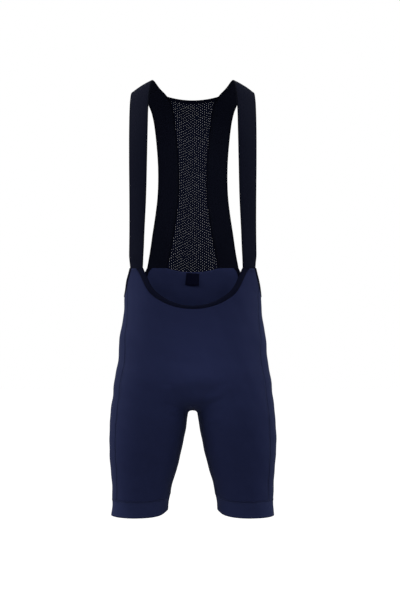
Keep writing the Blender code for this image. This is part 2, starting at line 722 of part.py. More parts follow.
def build_upper():
    grid = strap_grid()
    normals = grid_normals(grid)
    quads = grid_quads(grid.shape[0] - 1, STRAP_CELLS)
    shaped = trim(grid, ("left", "top")) + normals * STRAP_WALL
    for hand, mirror in (("left", -1), ("right", 1)):
        flip = (mirror, 1.0, 1.0)
        add_piece(f"strap_{hand}", shaped.reshape(-1, 3) * flip, normals.reshape(-1, 3) * flip,
                  quads, STRAP_WALL, "elastic")
    neck = STRAP_FRONT_ROWS + STRAP_SHOULDER_ROWS
    inner = grid[neck:, 0].copy()
    binding_end = inner[0] + (inner[1] - inner[0]) * NECK_BINDING / np.linalg.norm(inner[1] - inner[0])
    lead = np.array((inner[0], (inner[0] + binding_end) / 2.0, binding_end))
    binding = back_sheet(lead, MESH_CELLS)
    inner[0] = binding_end
    mesh = back_sheet(inner, MESH_CELLS)
    for name, sheet, sides, thickness, finish in (
            ("neck_binding", binding, ("top", "left", "right"), STRAP_WALL, "elastic"),
            ("back_mesh", mesh, ("bottom", "top", "left", "right"), MESH_WALL, "mesh")):
        edge_normals = grid_normals(sheet)
        if edge_normals[..., 1].mean() < 0.0:
            edge_normals = -edge_normals
        shaped = trim(sheet, sides)
        add_piece(name, shaped.reshape(-1, 3), edge_normals.reshape(-1, 3),
                  grid_quads(sheet.shape[0] - 1, MESH_CELLS), thickness, finish)


def main():
    for thing in list(bpy.data.objects):
        bpy.data.objects.remove(thing)
    build_shorts()
    build_upper()


main()
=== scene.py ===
# %% [markdown]
# # Cycling bib shorts, empty, in their worn shape
#
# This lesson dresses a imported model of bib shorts: navy stretch shorts, wide black elastic straps, a black
# mesh back and gripper hems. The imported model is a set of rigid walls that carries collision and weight.
# Each of its pieces is replaced here by finer cloth in the same place, one after another.
#
# Everything is in metres, +Z up, the front faces -Y. The origin lies between the crowns of the straps.

import math

import bpy
import numpy as np
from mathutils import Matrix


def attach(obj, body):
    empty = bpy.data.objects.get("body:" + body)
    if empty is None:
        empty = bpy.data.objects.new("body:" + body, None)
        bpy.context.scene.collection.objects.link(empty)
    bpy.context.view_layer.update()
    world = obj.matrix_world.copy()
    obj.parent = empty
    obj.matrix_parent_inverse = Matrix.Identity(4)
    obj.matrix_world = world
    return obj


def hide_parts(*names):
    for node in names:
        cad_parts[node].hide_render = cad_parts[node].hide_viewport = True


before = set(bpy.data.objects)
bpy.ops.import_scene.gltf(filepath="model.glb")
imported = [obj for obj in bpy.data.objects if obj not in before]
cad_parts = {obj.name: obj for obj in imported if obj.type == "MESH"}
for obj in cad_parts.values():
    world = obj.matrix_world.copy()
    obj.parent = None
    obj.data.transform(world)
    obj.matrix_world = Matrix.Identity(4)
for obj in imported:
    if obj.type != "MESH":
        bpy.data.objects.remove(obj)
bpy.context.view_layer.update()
print("packed pieces:", ", ".join(sorted(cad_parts)))

# %% [markdown]
# ## The general figure under the cloth
#
# Stretch cloth takes the form of what it covers. So the first step is a smooth body-like surface, and every
# panel is cut out of it. It could be sculpted, or lofted through rings. Here it is a field: a rule that is
# below zero inside and zero on the outside. Two leg tubes and a seat bowl are each a simple rounded section
# read from a short table, and a smooth minimum melts them together, so the crotch comes out round by itself.
# Heights in the tables are counted from the crotch, and `place` moves a finished piece to the frame.

# %% Sizes of the figure
FRONT, BACK = -1, 1          # the sign of y on each side
SHOULDER_HEIGHT = 0.703
# The hem on the outer side of the leg, the height of its band, how much higher it is at the inner-leg seams
# and between them, and the power that keeps this rise near the inside.
HEM_HEIGHT, HEM_BAND, HEM_RISE, HEM_CREST, HEM_LATE = -0.2225, 0.034, 0.009, 0.003, 4.5

# Sections of the torso: height, half width, depth in front, depth behind.
TORSO = (
    (0.104, 0.1580, 0.1040, 0.1220),
    (0.150, 0.1562, 0.1070, 0.1140),
    (0.195, 0.1485, 0.1060, 0.1010),
    (0.240, 0.1452, 0.1040, 0.0930),
    (0.290, 0.1478, 0.1040, 0.0890),
    (0.340, 0.1540, 0.1070, 0.0900),
    (0.420, 0.1620, 0.1110, 0.0980),
    (0.500, 0.1680, 0.1130, 0.1080),
    (0.574, 0.1700, 0.1080, 0.1120),
)
# Sections of one leg: height, inner and outer side from the middle plane, depth in front and behind.
LEG = (
    (-0.222, 0.0540, 0.1735, 0.0650, 0.0700),
    (-0.192, 0.0500, 0.1719, 0.0680, 0.0730),
    (-0.158, 0.0434, 0.1720, 0.0720, 0.0770),
    (-0.124, 0.0334, 0.1747, 0.0770, 0.0830),
    (-0.090, 0.0247, 0.1774, 0.0830, 0.0890),
    (-0.056, 0.0179, 0.1776, 0.0880, 0.0950),
    (-0.020, 0.0115, 0.1760, 0.0920, 0.1010),
    (0.020, 0.0095, 0.1720, 0.0930, 0.1070),
    (0.060, 0.0180, 0.1628, 0.0880, 0.1050),
    (0.110, 0.0400, 0.1320, 0.0700, 0.0850),
    (0.150, 0.0600, 0.1100, 0.0500, 0.0600),
    (0.190, 0.0600, 0.1100, 0.0500, 0.0600),
    (0.240, 0.0600, 0.1100, 0.0500, 0.0600),
    (0.300, 0.0680, 0.1020, 0.0200, 0.0200),
)
# The line inside each half from which the rows of cloth are drawn: height, x.
SPINE = ((-0.222, 0.112), (-0.090, 0.100), (0.020, 0.088), (0.104, 0.075), (0.240, 0.068), (0.310, 0.068))
TORSO_ROUND, BOWL_ROUND, LEG_ROUND = 2.4, 2.7, 2.2
BLEND_INNER, BLEND_OUTER, BLEND_REACH = 0.012, 0.036, 0.070
# How far a ray looks for the surface from the line inside a half, from between the legs, from the middle
# line, and from the middle of a leg.
SKIN_REACH, ARCH_REACH, MIDDLE_REACH, HEM_REACH = 0.24, 0.090, 0.20, 0.12


# %% Smooth curves through short tables
SAMPLES, SAMPLES_A_POINT = 1200, 40      # how finely a curve is measured before it is cut


def unit(directions):
    """The same directions, one metre long."""
    return directions / np.linalg.norm(directions, axis=-1, keepdims=True)


def triples(x, y, z):
    """Points or directions out of three lists or numbers."""
    return np.stack(np.broadcast_arrays(x, y, z), axis=-1)


def ease(x):
    """From 0 to 1 without a corner at either end."""
    x = np.clip(x, 0.0, 1.0)
    return x * x * (3.0 - 2.0 * x)


def read(table, column, where):
    """A column of a table as a smooth curve over the table's first column."""
    rows = np.array(table, dtype=float)
    knots, values = rows[:, 0], rows[:, column]
    slopes = np.gradient(values, knots)
    where = np.clip(np.asarray(where, dtype=float), knots[0], knots[-1])
    cell = np.clip(np.searchsorted(knots, where) - 1, 0, len(knots) - 2)
    span = knots[cell + 1] - knots[cell]
    s = (where - knots[cell]) / span
    start, end = values[cell], values[cell + 1]
    lean_in, lean_out = slopes[cell] * span, slopes[cell + 1] * span
    return (start * (1 + 2 * s) * (1 - s) ** 2 + end * s ** 2 * (3 - 2 * s)
            + lean_in * s * (1 - s) ** 2 - lean_out * s ** 2 * (1 - s))


def lengths_along(points):
    """The distance from the first point to each point, along the line."""
    return np.concatenate(([0.0], np.cumsum(np.linalg.norm(np.diff(points, axis=0), axis=1))))


def spread(points, count):
    """A smooth curve through the points, cut into count equal lengths."""
    points = np.asarray(points, dtype=float)
    knots = lengths_along(points)
    table = np.column_stack((knots, points))
    fine = np.linspace(0.0, knots[-1], SAMPLES_A_POINT * len(points))
    curve = np.column_stack([read(table, column + 1, fine) for column in range(points.shape[1])])
    lengths = lengths_along(curve)
    even = np.linspace(0.0, lengths[-1], count + 1)
    return np.column_stack([np.interp(even, lengths, curve[:, axis]) for axis in range(points.shape[1])])


def even_along(curve, count):
    """Points that cut curve(s), for s from 0 to 1, into count equal lengths."""
    s = np.linspace(0.0, 1.0, SAMPLES)
    lengths = lengths_along(curve(s))
    return curve(np.interp(np.linspace(0.0, lengths[-1], count + 1), lengths, s))


print("torso is", round(2000 * read(TORSO, 1, 0.240)), "mm wide at the waist")


# %% The field of the figure
def smooth_min(a, b, reach):
    """The smaller of two fields, rounded where they meet."""
    h = np.clip(1.0 - np.abs(a - b) / reach, 0.0, 1.0)
    return np.minimum(a, b) - h * h * reach / 4.0


def torso_field(x, y, height):
    """The seat bowl and the torso above it."""
    half, front, back = (read(TORSO, column, height) for column in (1, 2, 3))
    depth = np.where(y < 0.0, front, back)
    below = np.clip(TORSO[0][0] - height, 0.0, None) / TORSO[0][0]
    total = (np.abs(x) / half) ** TORSO_ROUND + (np.abs(y) / depth) ** TORSO_ROUND + below ** BOWL_ROUND
    return (total ** (1.0 / TORSO_ROUND) - 1.0) * half


def leg_field(x, y, height):
    """The leg on the +X side."""
    inner, outer, front, back = (read(LEG, column, height) for column in (1, 2, 3, 4))
    middle, half = (inner + outer) / 2.0, (outer - inner) / 2.0
    depth = np.where(y < 0.0, front, back)
    total = (np.abs(x - middle) / half) ** LEG_ROUND + (np.abs(y) / depth) ** LEG_ROUND
    return (total ** (1.0 / LEG_ROUND) - 1.0) * half


def field(points):
    """Below zero inside the worn shorts, zero on their outside."""
    x, y, height = points[..., 0], points[..., 1], points[..., 2]
    reach = BLEND_INNER + (BLEND_OUTER - BLEND_INNER) * ease(np.abs(x) / BLEND_REACH)
    legs = smooth_min(leg_field(x, y, height), leg_field(-x, y, height), reach)
    return smooth_min(torso_field(x, y, height), legs, reach)


def field_normals(points, step=0.0004):
    """The directions out of the figure, from the field a small step away on each side."""
    return unit(triples(*(field(points + axis * step) - field(points - axis * step) for axis in np.eye(3))))


print("the middle of the waist lies", round(-1000 * float(field(np.array((0.0, 0.0, 0.24))))), "mm inside")


# %% Rays that find the surface
def hit(origin, direction, reach, halvings=34):
    """Where rays from origin along direction, no longer than reach, cross the surface."""
    origin, direction = np.broadcast_arrays(np.asarray(origin, float), np.asarray(direction, float))
    low = np.zeros(origin.shape[:-1])
    high = np.broadcast_to(np.asarray(reach, float), low.shape).copy()
    inside = field(origin) < 0.0
    for _ in range(halvings):
        middle = (low + high) / 2.0
        same = (field(origin + direction * middle[..., None]) < 0.0) == inside
        low, high = np.where(same, middle, low), np.where(same, high, middle)
    return origin + direction * low[..., None]


def on_skin(angle, height):
    """The point at an angle round the half's own line: 0 outwards, -pi/2 in front."""
    start = read(SPINE, 1, height)
    reach = np.minimum(SKIN_REACH, start / np.maximum(-np.cos(angle), 1e-6))
    return hit(triples(start, 0.0, height), triples(np.cos(angle), np.sin(angle), 0.0), reach)


def angle_of(points):
    """The angle of points round the half's own line."""
    return np.arctan2(points[..., 1], points[..., 0] - read(SPINE, 1, points[..., 2]))


front_of_thigh = on_skin(np.array([-math.pi / 2]), np.array([-0.05]))
print("front of the thigh lies", round(-1000 * front_of_thigh[0, 1]), "mm ahead of the middle")

# %% [markdown]
# ## The chest and shoulders that the straps lie on
#
# The straps and the mesh back run above the shorts over an open chest, so only their lines matter there, not
# a closed body. Two half sections, one in front and one behind, close over a sloping shoulder line. Any point
# of a strap is then given by its x and its height, and this rule finds its depth.

# %% The chest and shoulders
SHOULDER_SLOPE, CROWN_X = 0.62, 0.0847
CAP_BASE, CAP_MIDDLE, SLOPE_START, SLOPE_INNER = 0.574, 0.010, 0.50, 0.060


def figure_depth(x, height, side):
    """The y of the figure's front or back, closed over the shoulder."""
    x, height = np.asarray(x, float), np.asarray(height, float)
    lift = SHOULDER_SLOPE * (np.maximum(x, SLOPE_INNER) - CROWN_X)
    level = height + lift * np.clip((height - SLOPE_START) / (CAP_BASE - SLOPE_START), 0.0, 1.0)
    depth, half = read(TORSO, 2 if side == FRONT else 3, level), read(TORSO, 1, level)
    closing = np.clip((level - CAP_BASE) / (SHOULDER_HEIGHT - CAP_BASE), 0.0, 1.0)
    reach = depth * (1.0 - np.clip(np.abs(x) / half, 0.0, 1.0) ** TORSO_ROUND) ** (1.0 / TORSO_ROUND)
    return CAP_MIDDLE * closing + side * reach * np.sqrt(1.0 - closing ** 2)


def figure_points(pairs, side):
    """Points of the figure's front or back at pairs of x and height."""
    pairs = np.asarray(pairs, dtype=float)
    return np.column_stack((pairs[:, 0], figure_depth(pairs[:, 0], pairs[:, 1], side), pairs[:, 1]))


print("chest is", round(-1000 * float(figure_depth(0.1, 0.45, FRONT))), "mm deep in front, under the strap")

# %% [markdown]
# ## Helpers for objects and node trees
#
# The light, the finishes and the stitches below are all made with small node trees. `add_node` makes one node
# with its settings and inputs in a single call, `maths` is short for a Math node, and `new_group` makes a
# group with named sockets, so that an effect is built once and then placed with other values.

# %% Helpers
FLOAT, VECTOR, CLOTH_SOCKET = "NodeSocketFloat", "NodeSocketVector", "NodeSocketMaterial"


def put_in_scene(name, data):
    """A new object at the origin."""
    thing = bpy.data.objects.new(name, data)
    bpy.context.scene.collection.objects.link(thing)
    return thing


def set_inputs(node, values):
    for key, value in values.items():
        node.inputs[key].default_value = value


def link_inputs(tree, node, sources):
    for key, source in sources.items():
        tree.links.new(source, node.inputs[key])


def add_node(tree, kind, operation=None, values=None, settings=None, **sources):
    """A node with its operation, input values and other settings; what is linked is given by input name."""
    node = tree.nodes.new(kind)
    if operation:
        node.operation = operation
    for key, value in (settings or {}).items():
        setattr(node, key, value)
    set_inputs(node, values or {})
    link_inputs(tree, node, {key.replace("_", " "): source for key, source in sources.items()})
    return node


def maths(tree, operation, first, second=None):
    """A Math node; each operand is a socket or a number."""
    node = add_node(tree, "ShaderNodeMath", operation)
    for number, operand in enumerate((first, second)):
        if isinstance(operand, (int, float)):
            set_inputs(node, {number: operand})
        elif operand is not None:
            link_inputs(tree, node, {number: operand})
    return node.outputs["Value"]


def new_group(name, inputs, outputs, kind="ShaderNodeTree"):
    """A node group with named sockets, {name: (type, default)} in and {name: type} out, and its two ends."""
    group = bpy.data.node_groups.new(name, kind)
    for title, (socket, default) in inputs.items():
        made = group.interface.new_socket(title, in_out="INPUT", socket_type=socket)
        if default is not None:
            made.default_value = default
    for title, socket in outputs.items():
        group.interface.new_socket(title, in_out="OUTPUT", socket_type=socket)
    return group, group.nodes.new("NodeGroupInput").outputs, group.nodes.new("NodeGroupOutput")


def new_finish(name):
    """A material, its node tree and its shader."""
    finish = bpy.data.materials.new(name)
    finish.use_nodes = True
    return finish, finish.node_tree, finish.node_tree.nodes["Principled BSDF"]


print("helpers ready")

# %% [markdown]
# ## Camera, floor and light
#
# The camera comes early, because every judgement is made through it. It stands level with the thighs' top,
# 3.2 m away, with a long lens, so the shorts show almost without perspective. The floor is plain and pale.
# Soft panels do the work: a key in front, high and near, so that the legs darken towards their hems, two on
# each side, which put the pale sheen on the hips, and a weak one behind. The left ones are a little brighter.
# A soft spot lifts the middle of the front. The world is white to the camera. As light it is dimmer, and
# dimmest from below, so the background stays clean and dark cloth isn't washed out.

# %% Camera
PICTURE_HEIGHT_PX, FOCAL_PX, FILM_WIDTH = 600, 1502.3, 36.0
CAMERA_DISTANCE, HORIZON = 3.2, -0.469
SIDEWAYS_PX = 7.2            # the shorts hang this far left of the picture's middle

camera_data = bpy.data.cameras.new("studio_camera")
camera_data.sensor_width = FILM_WIDTH
camera_data.lens = FOCAL_PX / PICTURE_HEIGHT_PX * camera_data.sensor_width
camera_data.shift_x = SIDEWAYS_PX / PICTURE_HEIGHT_PX
camera = put_in_scene("studio_camera", camera_data)
camera.location = (0.0, -CAMERA_DISTANCE, HORIZON)
camera.rotation_euler = (math.pi / 2, 0.0, 0.0)
bpy.context.scene.camera = camera
print("lens", round(camera_data.lens, 2), "mm")

# %% Lights and world
# place, what it points at, width and height of its panel, power in watts
PANELS = {
    "key": ((0.0, -2.0, 1.10), (0.0, 0.0, -0.50), (2.4, 1.0), 24.0),
    "behind": ((0.0, 2.4, 0.60), (0.0, 0.0, -0.50), (2.0, 1.0), 14.0),
    "side_left": ((-1.5, 0.35, 0.30), (-0.15, 0.0, -0.52), (1.0, 1.6), 16.0),
    "side_right": ((1.5, 0.35, 0.30), (0.15, 0.0, -0.52), (1.0, 1.6), 12.0),
    "front_left": ((-1.8, -0.5, 0.20), (-0.15, 0.0, -0.50), (1.0, 1.6), 18.5),
    "front_right": ((1.8, -0.5, 0.20), (0.15, 0.0, -0.50), (1.0, 1.6), 14.5),
}
# The spot's place and aim, the radius of its pool of light there, its own radius, and its power in watts.
SPOT_PLACE, SPOT_AIM = (0.0, -2.4, 0.10), (0.015, -0.1, -0.604)
SPOT_REACH, SPOT_RADIUS, SPOT_POWER = 0.115, 0.08, 100.0
WORLD_LOW, WORLD_HIGH = 0.03, 0.23       # the world's light from straight below and straight above


def add_light(name, kind, where, target, power):
    """A light turned to its target, that the camera doesn't see."""
    data = bpy.data.lights.new(name, kind)
    data.energy = power
    light = put_in_scene(name, data)
    aim = np.array(target) - np.array(where)
    light.location = where
    light.rotation_euler = (math.atan2(math.hypot(aim[0], aim[1]), -aim[2]), 0.0,
                            math.atan2(aim[1], aim[0]) - math.pi / 2)
    light.visible_camera = False
    return data


for name, (where, target, size, power) in PANELS.items():
    panel = add_light(name, "AREA", where, target, power)
    panel.shape, panel.size, panel.size_y = "RECTANGLE", *size
belly = add_light("belly", "SPOT", SPOT_PLACE, SPOT_AIM, SPOT_POWER)
belly.shadow_soft_size, belly.spot_blend = SPOT_RADIUS, 1.0
belly.spot_size = 2.0 * math.atan(SPOT_REACH / math.dist(SPOT_PLACE, SPOT_AIM))

world = bpy.data.worlds.new("studio")
world.use_nodes = True
bpy.context.scene.world = world
tree = world.node_tree
tree.nodes.clear()
way = add_node(tree, "ShaderNodeTexCoord").outputs["Generated"]
way_up = add_node(tree, "ShaderNodeSeparateXYZ", Vector=way).outputs["Z"]
dimmed = add_node(tree, "ShaderNodeMapRange", Value=way_up, values={
    "From Min": -1.0, "From Max": 1.0, "To Min": WORLD_LOW, "To Max": WORLD_HIGH}).outputs["Result"]
seen = add_node(tree, "ShaderNodeLightPath").outputs["Is Camera Ray"]
background = add_node(tree, "ShaderNodeBackground", values={"Color": (1.0, 1.0, 1.0, 1.0)},
                      Strength=maths(tree, "MAXIMUM", seen, dimmed))
add_node(tree, "ShaderNodeOutputWorld", Surface=background.outputs["Background"])
bpy.context.scene.view_settings.view_transform = "Standard"

# %% Floor
FLOOR_HEIGHT, FLOOR_HALF = -1.5, 14.0
FLOOR_GREY, FLOOR_ROUGHNESS, FLOOR_GLOW = 0.60, 0.9, 0.95     # it glows for the camera alone
corners = [(x * FLOOR_HALF, y * FLOOR_HALF, FLOOR_HEIGHT) for x, y in ((-1, -1), (1, -1), (1, 1), (-1, 1))]
floor_mesh = bpy.data.meshes.new("floor")
floor_mesh.from_pydata(corners, [], [(0, 1, 2, 3)])
paint, tree, shader = new_finish("pale_floor")
set_inputs(shader, {"Base Color": (FLOOR_GREY, FLOOR_GREY, FLOOR_GREY, 1.0), "Roughness": FLOOR_ROUGHNESS,
                    "Emission Strength": FLOOR_GLOW})
seen = add_node(tree, "ShaderNodeLightPath").outputs["Is Camera Ray"]
link_inputs(tree, shader, {"Emission Color": seen})
floor_mesh.materials.append(paint)
put_in_scene("floor", floor_mesh)
print("floor at", FLOOR_HEIGHT)

# %% [markdown]
# ## Shared effects for the cloth
#
# All the cloth here is knitted or woven from fine yarn, dyed, and sewn. So three effects come back in every
# material, and each is one node group: the weave itself, which is a height for bump and a slight shade
# between the loops; the uneven take-up of dye; and a darker line along sewn edges and rims, which is painted
# shade for a seam's groove and an edge that turns away, and for the flattened, dense cloth there. A group
# keeps the effect in one place, and each material gives it other values.
# The weave reads the cloth's own flat coordinates in metres, so its loops run with the grain and stay the
# same size everywhere.

# %% The three groups
def around_half(tree, value, share):
    """A share of how far a value is from one half."""
    return maths(tree, "MULTIPLY", maths(tree, "SUBTRACT", value, 0.5), share)


weave, given, result = new_group(
    "cloth_weave",
    {"Flat": (VECTOR, None), "Wale": (FLOAT, 0.0009), "Course": (FLOAT, 0.0007), "Cross": (FLOAT, 0.5)},
    {"Height": FLOAT, "Shade": FLOAT})
SHADE_SHARE = 0.6            # how much of the loops' height also shows as shade


def rounded_loops(count):
    """Round-topped loops: the absolute sine of a count of them."""
    return maths(weave, "ABSOLUTE", maths(weave, "SINE", maths(weave, "MULTIPLY", count, math.pi)))


split = add_node(weave, "ShaderNodeSeparateXYZ", Vector=given["Flat"]).outputs
wale = rounded_loops(maths(weave, "DIVIDE", split["X"], given["Wale"]))
along = maths(weave, "DIVIDE", split["Y"], given["Course"])
course = rounded_loops(maths(weave, "ADD", along, maths(weave, "MULTIPLY", wale, 0.5)))
height = maths(weave, "ADD", wale, maths(weave, "MULTIPLY", course, given["Cross"]))
link_inputs(weave, result, {"Height": height, "Shade": maths(weave, "MULTIPLY", height, SHADE_SHARE)})

dye, given, result = new_group(
    "uneven_dye", {"Place": (VECTOR, None), "Scale": (FLOAT, 14.0), "Contrast": (FLOAT, 0.5)},
    {"Share": FLOAT})
broad = add_node(dye, "ShaderNodeTexNoise", values={"Detail": 3.0, "Roughness": 0.55},
                 Vector=given["Place"], Scale=given["Scale"]).outputs["Fac"]
link_inputs(dye, result, {"Share": maths(dye, "ADD", around_half(dye, broad, given["Contrast"]), 0.5)})

# The third group paints shade: a darker line, broken by specks, along sewn edges and rims. It stands for a
# seam's groove and an edge that turns away, and for the flattened cloth there.
seam_shade, given, result = new_group(
    "seam_shade_and_press", {"Near": (FLOAT, 0.0), "Place": (VECTOR, None), "Amount": (FLOAT, 0.4)},
    {"Mask": FLOAT})
specks = add_node(seam_shade, "ShaderNodeTexNoise", values={"Scale": 240.0, "Detail": 2.0},
                  Vector=given["Place"]).outputs["Fac"]
broken = maths(seam_shade, "MULTIPLY", given["Near"], maths(seam_shade, "ADD", specks, 0.5))
link_inputs(seam_shade, result, {"Mask": maths(seam_shade, "MULTIPLY", broken, given["Amount"])})
print("groups:", weave.name, dye.name, seam_shade.name)

# %% [markdown]
# ## The finishes
#
# The shorts are a smooth, dense warp-knit with elastane: matt from the front and paler at a grazing angle,
# where its microfibre fuzz catches light. That is what Sheen is for. The elastic of the straps is blacker
# and duller, with fine lengthwise ribs. The values for sheen and specular level are set on each shader.


# %% One recipe for all cloth
COOL = (0.55, 0.65, 1.0)     # the tint of the fuzz
MIDDLE_TONE, WEAVE_TONE, DYE_TONE = 0.55, 0.22, 0.30
ROUGHNESS_SWING, BUMP_STRENGTH = 0.06, 0.6


def effect(tree, group, values=None, **sources):
    """One of the shared effects, placed in a material."""
    return add_node(tree, "ShaderNodeGroup", values=values, settings={"node_tree": group}, **sources).outputs


def two_tones(tree, dark, light, share):
    """A colour from dark to light. A Mix node has its two colours at inputs 6 and 7."""
    return add_node(tree, "ShaderNodeMix", settings={"data_type": "RGBA", "clamp_factor": True},
                    values={6: (*dark, 1.0), 7: (*light, 1.0)}, Factor=share).outputs[2]


def make_cloth_finish(name, dark, light, roughness, loop, cross, bump, edge, reverse_face_and_light, sheen, specular):
    """Knitted or woven cloth, from a dark to a light tone.

    loop is the width and height of one loop, cross the share of its rows, bump its height in metres. edge
    is how much painted shade darkens the sewn edges and rims. The reverse value lightens the inside wall, and
    darkens it below zero: partly the reverse face's own tone, partly painted light and shade for how much
    light gets inside. sheen is a weight and a roughness.
    """
    finish, tree, shader = new_finish(name)
    place = add_node(tree, "ShaderNodeTexCoord").outputs["Object"]
    flat = add_node(tree, "ShaderNodeUVMap", settings={"uv_map": "Flat"}).outputs["UV"]
    near, inside = (add_node(tree, "ShaderNodeAttribute", settings={"attribute_name": stored}).outputs["Fac"]
                    for stored in ("edge_near", "reverse_side"))
    loops = effect(tree, weave, {"Wale": loop[0], "Course": loop[1], "Cross": cross}, Flat=flat)
    tone = effect(tree, dye, Place=place)["Share"]
    dark_edge = effect(tree, seam_shade, {"Amount": edge}, Place=place, Near=near)["Mask"]

    woven, dyed = around_half(tree, loops["Shade"], WEAVE_TONE), around_half(tree, tone, DYE_TONE)
    base = maths(tree, "ADD", maths(tree, "ADD", woven, dyed), MIDDLE_TONE)
    # The inside wall is lightened or darkened: partly its own reverse face, partly painted light and shade
    # for how much light gets inside.
    turned = maths(tree, "ADD", base, maths(tree, "MULTIPLY", inside, reverse_face_and_light))
    rough = add_node(tree, "ShaderNodeMapRange", Value=tone, values={
        "To Min": roughness + ROUGHNESS_SWING, "To Max": roughness - ROUGHNESS_SWING})
    relief = add_node(tree, "ShaderNodeBump", values={"Strength": BUMP_STRENGTH, "Distance": bump},
                      Height=loops["Height"])
    # The sewn edges and rims are darkened by painted shade.
    link_inputs(tree, shader, {
        "Base Color": two_tones(tree, dark, light, maths(tree, "SUBTRACT", turned, dark_edge)),
        "Roughness": rough.outputs["Result"], "Normal": relief.outputs["Normal"]})
    set_inputs(shader, {"Specular IOR Level": specular, "Sheen Weight": sheen[0], "Sheen Roughness": sheen[1],
                        "Sheen Tint": (*COOL, 1.0)})
    return finish


print("one recipe, mostly", MIDDLE_TONE, "of the way from its dark tone to its light one")

# %% The six cloths
# edge is painted shade along sewn edges and rims. The reverse value sets the inside wall's tone: partly its
# own reverse face, partly painted light, and painted shade where it is below zero.
CLOTHS = {
    "navy_warp_knit": dict(
        dark=(0.0060, 0.0082, 0.0290), light=(0.0172, 0.0228, 0.0690), roughness=0.75, specular=0.04,
        loop=(0.0009, 0.0007), cross=0.5, bump=0.00006, edge=0.08, reverse_face_and_light=0.40, sheen=(0.06, 0.35)),
    "navy_gripper_elastic": dict(
        dark=(0.0080, 0.0108, 0.0360), light=(0.0210, 0.0280, 0.0810), roughness=0.75, specular=0.04,
        loop=(0.0011, 0.0006), cross=0.8, bump=0.00008, edge=0.05, reverse_face_and_light=0.28, sheen=(0.05, 0.35)),
    "black_elastic": dict(
        dark=(0.0008, 0.0010, 0.0032), light=(0.0070, 0.0085, 0.0196), roughness=0.80, specular=0.03,
        loop=(0.0013, 0.0005), cross=0.35, bump=0.00010, edge=0.55, reverse_face_and_light=-0.22, sheen=(0.02, 0.40)),
    "black_binding": dict(
        dark=(0.0006, 0.0008, 0.0042), light=(0.0054, 0.0070, 0.0215), roughness=0.80, specular=0.03,
        loop=(0.0010, 0.0006), cross=0.6, bump=0.00008, edge=0.35, reverse_face_and_light=-0.35, sheen=(0.01, 0.40)),
    "black_mesh_yarn": dict(
        dark=(0.0020, 0.0026, 0.0078), light=(0.0064, 0.0078, 0.0190), roughness=0.85, specular=0.02,
        loop=(0.0007, 0.0007), cross=0.8, bump=0.00006, edge=0.0, reverse_face_and_light=0.0, sheen=(0.0, 0.40)),
    "black_satin_tape": dict(
        dark=(0.0003, 0.0005, 0.0050), light=(0.0014, 0.0022, 0.0150), roughness=0.60, specular=0.04,
        loop=(0.0005, 0.0004), cross=0.8, bump=0.00004, edge=0.10, reverse_face_and_light=0.0, sheen=(0.0, 0.30)),
}
NAVY, HEM, ELASTIC, BINDING, MESH, SATIN = (make_cloth_finish(name, **look) for name, look in CLOTHS.items())
print("finishes:", list(CLOTHS))

# %% [markdown]
# ## Creases
#
# Worn stretch cloth is nearly smooth. It keeps a few soft folds where it has spare length: across the top of
# the inner thighs, under the seat, and in front of the hips where the leg bends. Cloth simulation would give
# folds in places of its own choosing. Here each one is given as a line on the front or the back with its own
# width and depth, and a soft trough with a low ridge beside it is pressed into every panel that it crosses.
# Neighbouring panels read the same rule, so their shared seams stay shut.

# %% Where the creases lie
# side, start x and height, end x and height, half width, depth (a ridge if negative); x > 0 is +X.
CREASES = (
    (FRONT, -0.022, 0.006, -0.062, 0.020, 0.0045, 0.0014),
    (FRONT, -0.018, -0.012, -0.052, -0.004, 0.0036, 0.0012),
    (FRONT, -0.052, 0.040, 0.060, 0.045, 0.0130, 0.0028),
    (FRONT, -0.036, 0.058, -0.070, 0.062, 0.0050, 0.0010),
    (FRONT, 0.022, 0.010, 0.070, 0.034, 0.0060, 0.0016),
    (FRONT, 0.044, 0.052, 0.086, 0.066, 0.0075, 0.0011),
    (FRONT, 0.026, -0.030, 0.060, -0.022, 0.0050, 0.0012),
    (FRONT, -0.080, 0.030, -0.140, 0.082, 0.0110, 0.0014),
    (FRONT, 0.088, 0.028, 0.146, 0.086, 0.0120, 0.0015),
    (FRONT, -0.070, -0.120, -0.120, -0.132, 0.0090, 0.0006),
    (FRONT, 0.066, -0.138, 0.118, -0.146, 0.0100, 0.0006),
    (FRONT, -0.105, 0.150, -0.132, 0.205, 0.0120, 0.0007),
    (FRONT, 0.108, 0.140, 0.134, 0.200, 0.0130, 0.0007),
    (BACK, -0.020, 0.030, -0.120, -0.014, 0.0090, 0.0029),
    (BACK, -0.030, 0.004, -0.100, -0.036, 0.0062, 0.0017),
    (BACK, 0.022, 0.028, 0.126, -0.018, 0.0094, 0.0027),
    (BACK, 0.030, 0.000, 0.096, -0.040, 0.0060, 0.0018),
    (BACK, -0.060, -0.090, -0.130, -0.104, 0.0080, 0.0010),
    (BACK, 0.052, -0.098, 0.128, -0.108, 0.0085, 0.0011),
    (BACK, -0.070, -0.132, -0.120, -0.140, 0.0065, 0.0008),
    (BACK, 0.072, -0.128, 0.118, -0.136, 0.0060, 0.0008),
    (BACK, -0.090, 0.200, -0.134, 0.170, 0.0120, 0.0009),
    (BACK, 0.086, 0.206, 0.132, 0.172, 0.0120, 0.0009),
    (BACK, -0.010, 0.236, -0.070, 0.226, 0.0090, 0.0007),
    (BACK, 0.014, 0.214, 0.076, 0.206, 0.0100, 0.0007),
)
RIDGE_SHARE, RIDGE_SHIFT = 0.45, 2.1     # the ridge beside each trough: its height and distance
# Slow unevenness of the whole cloth: waves for each metre in x and height, start, amount. They also turn
# slowly with depth, in radians a metre.
SLACK = ((21.0, 9.0, 0.4, 0.00030), (8.0, 26.0, 2.1, 0.00025), (37.0, 17.0, 4.4, 0.00014))
SLACK_TURN = 9.0
CREASE_FADE = 0.030          # a crease fades out this near to the middle of the side


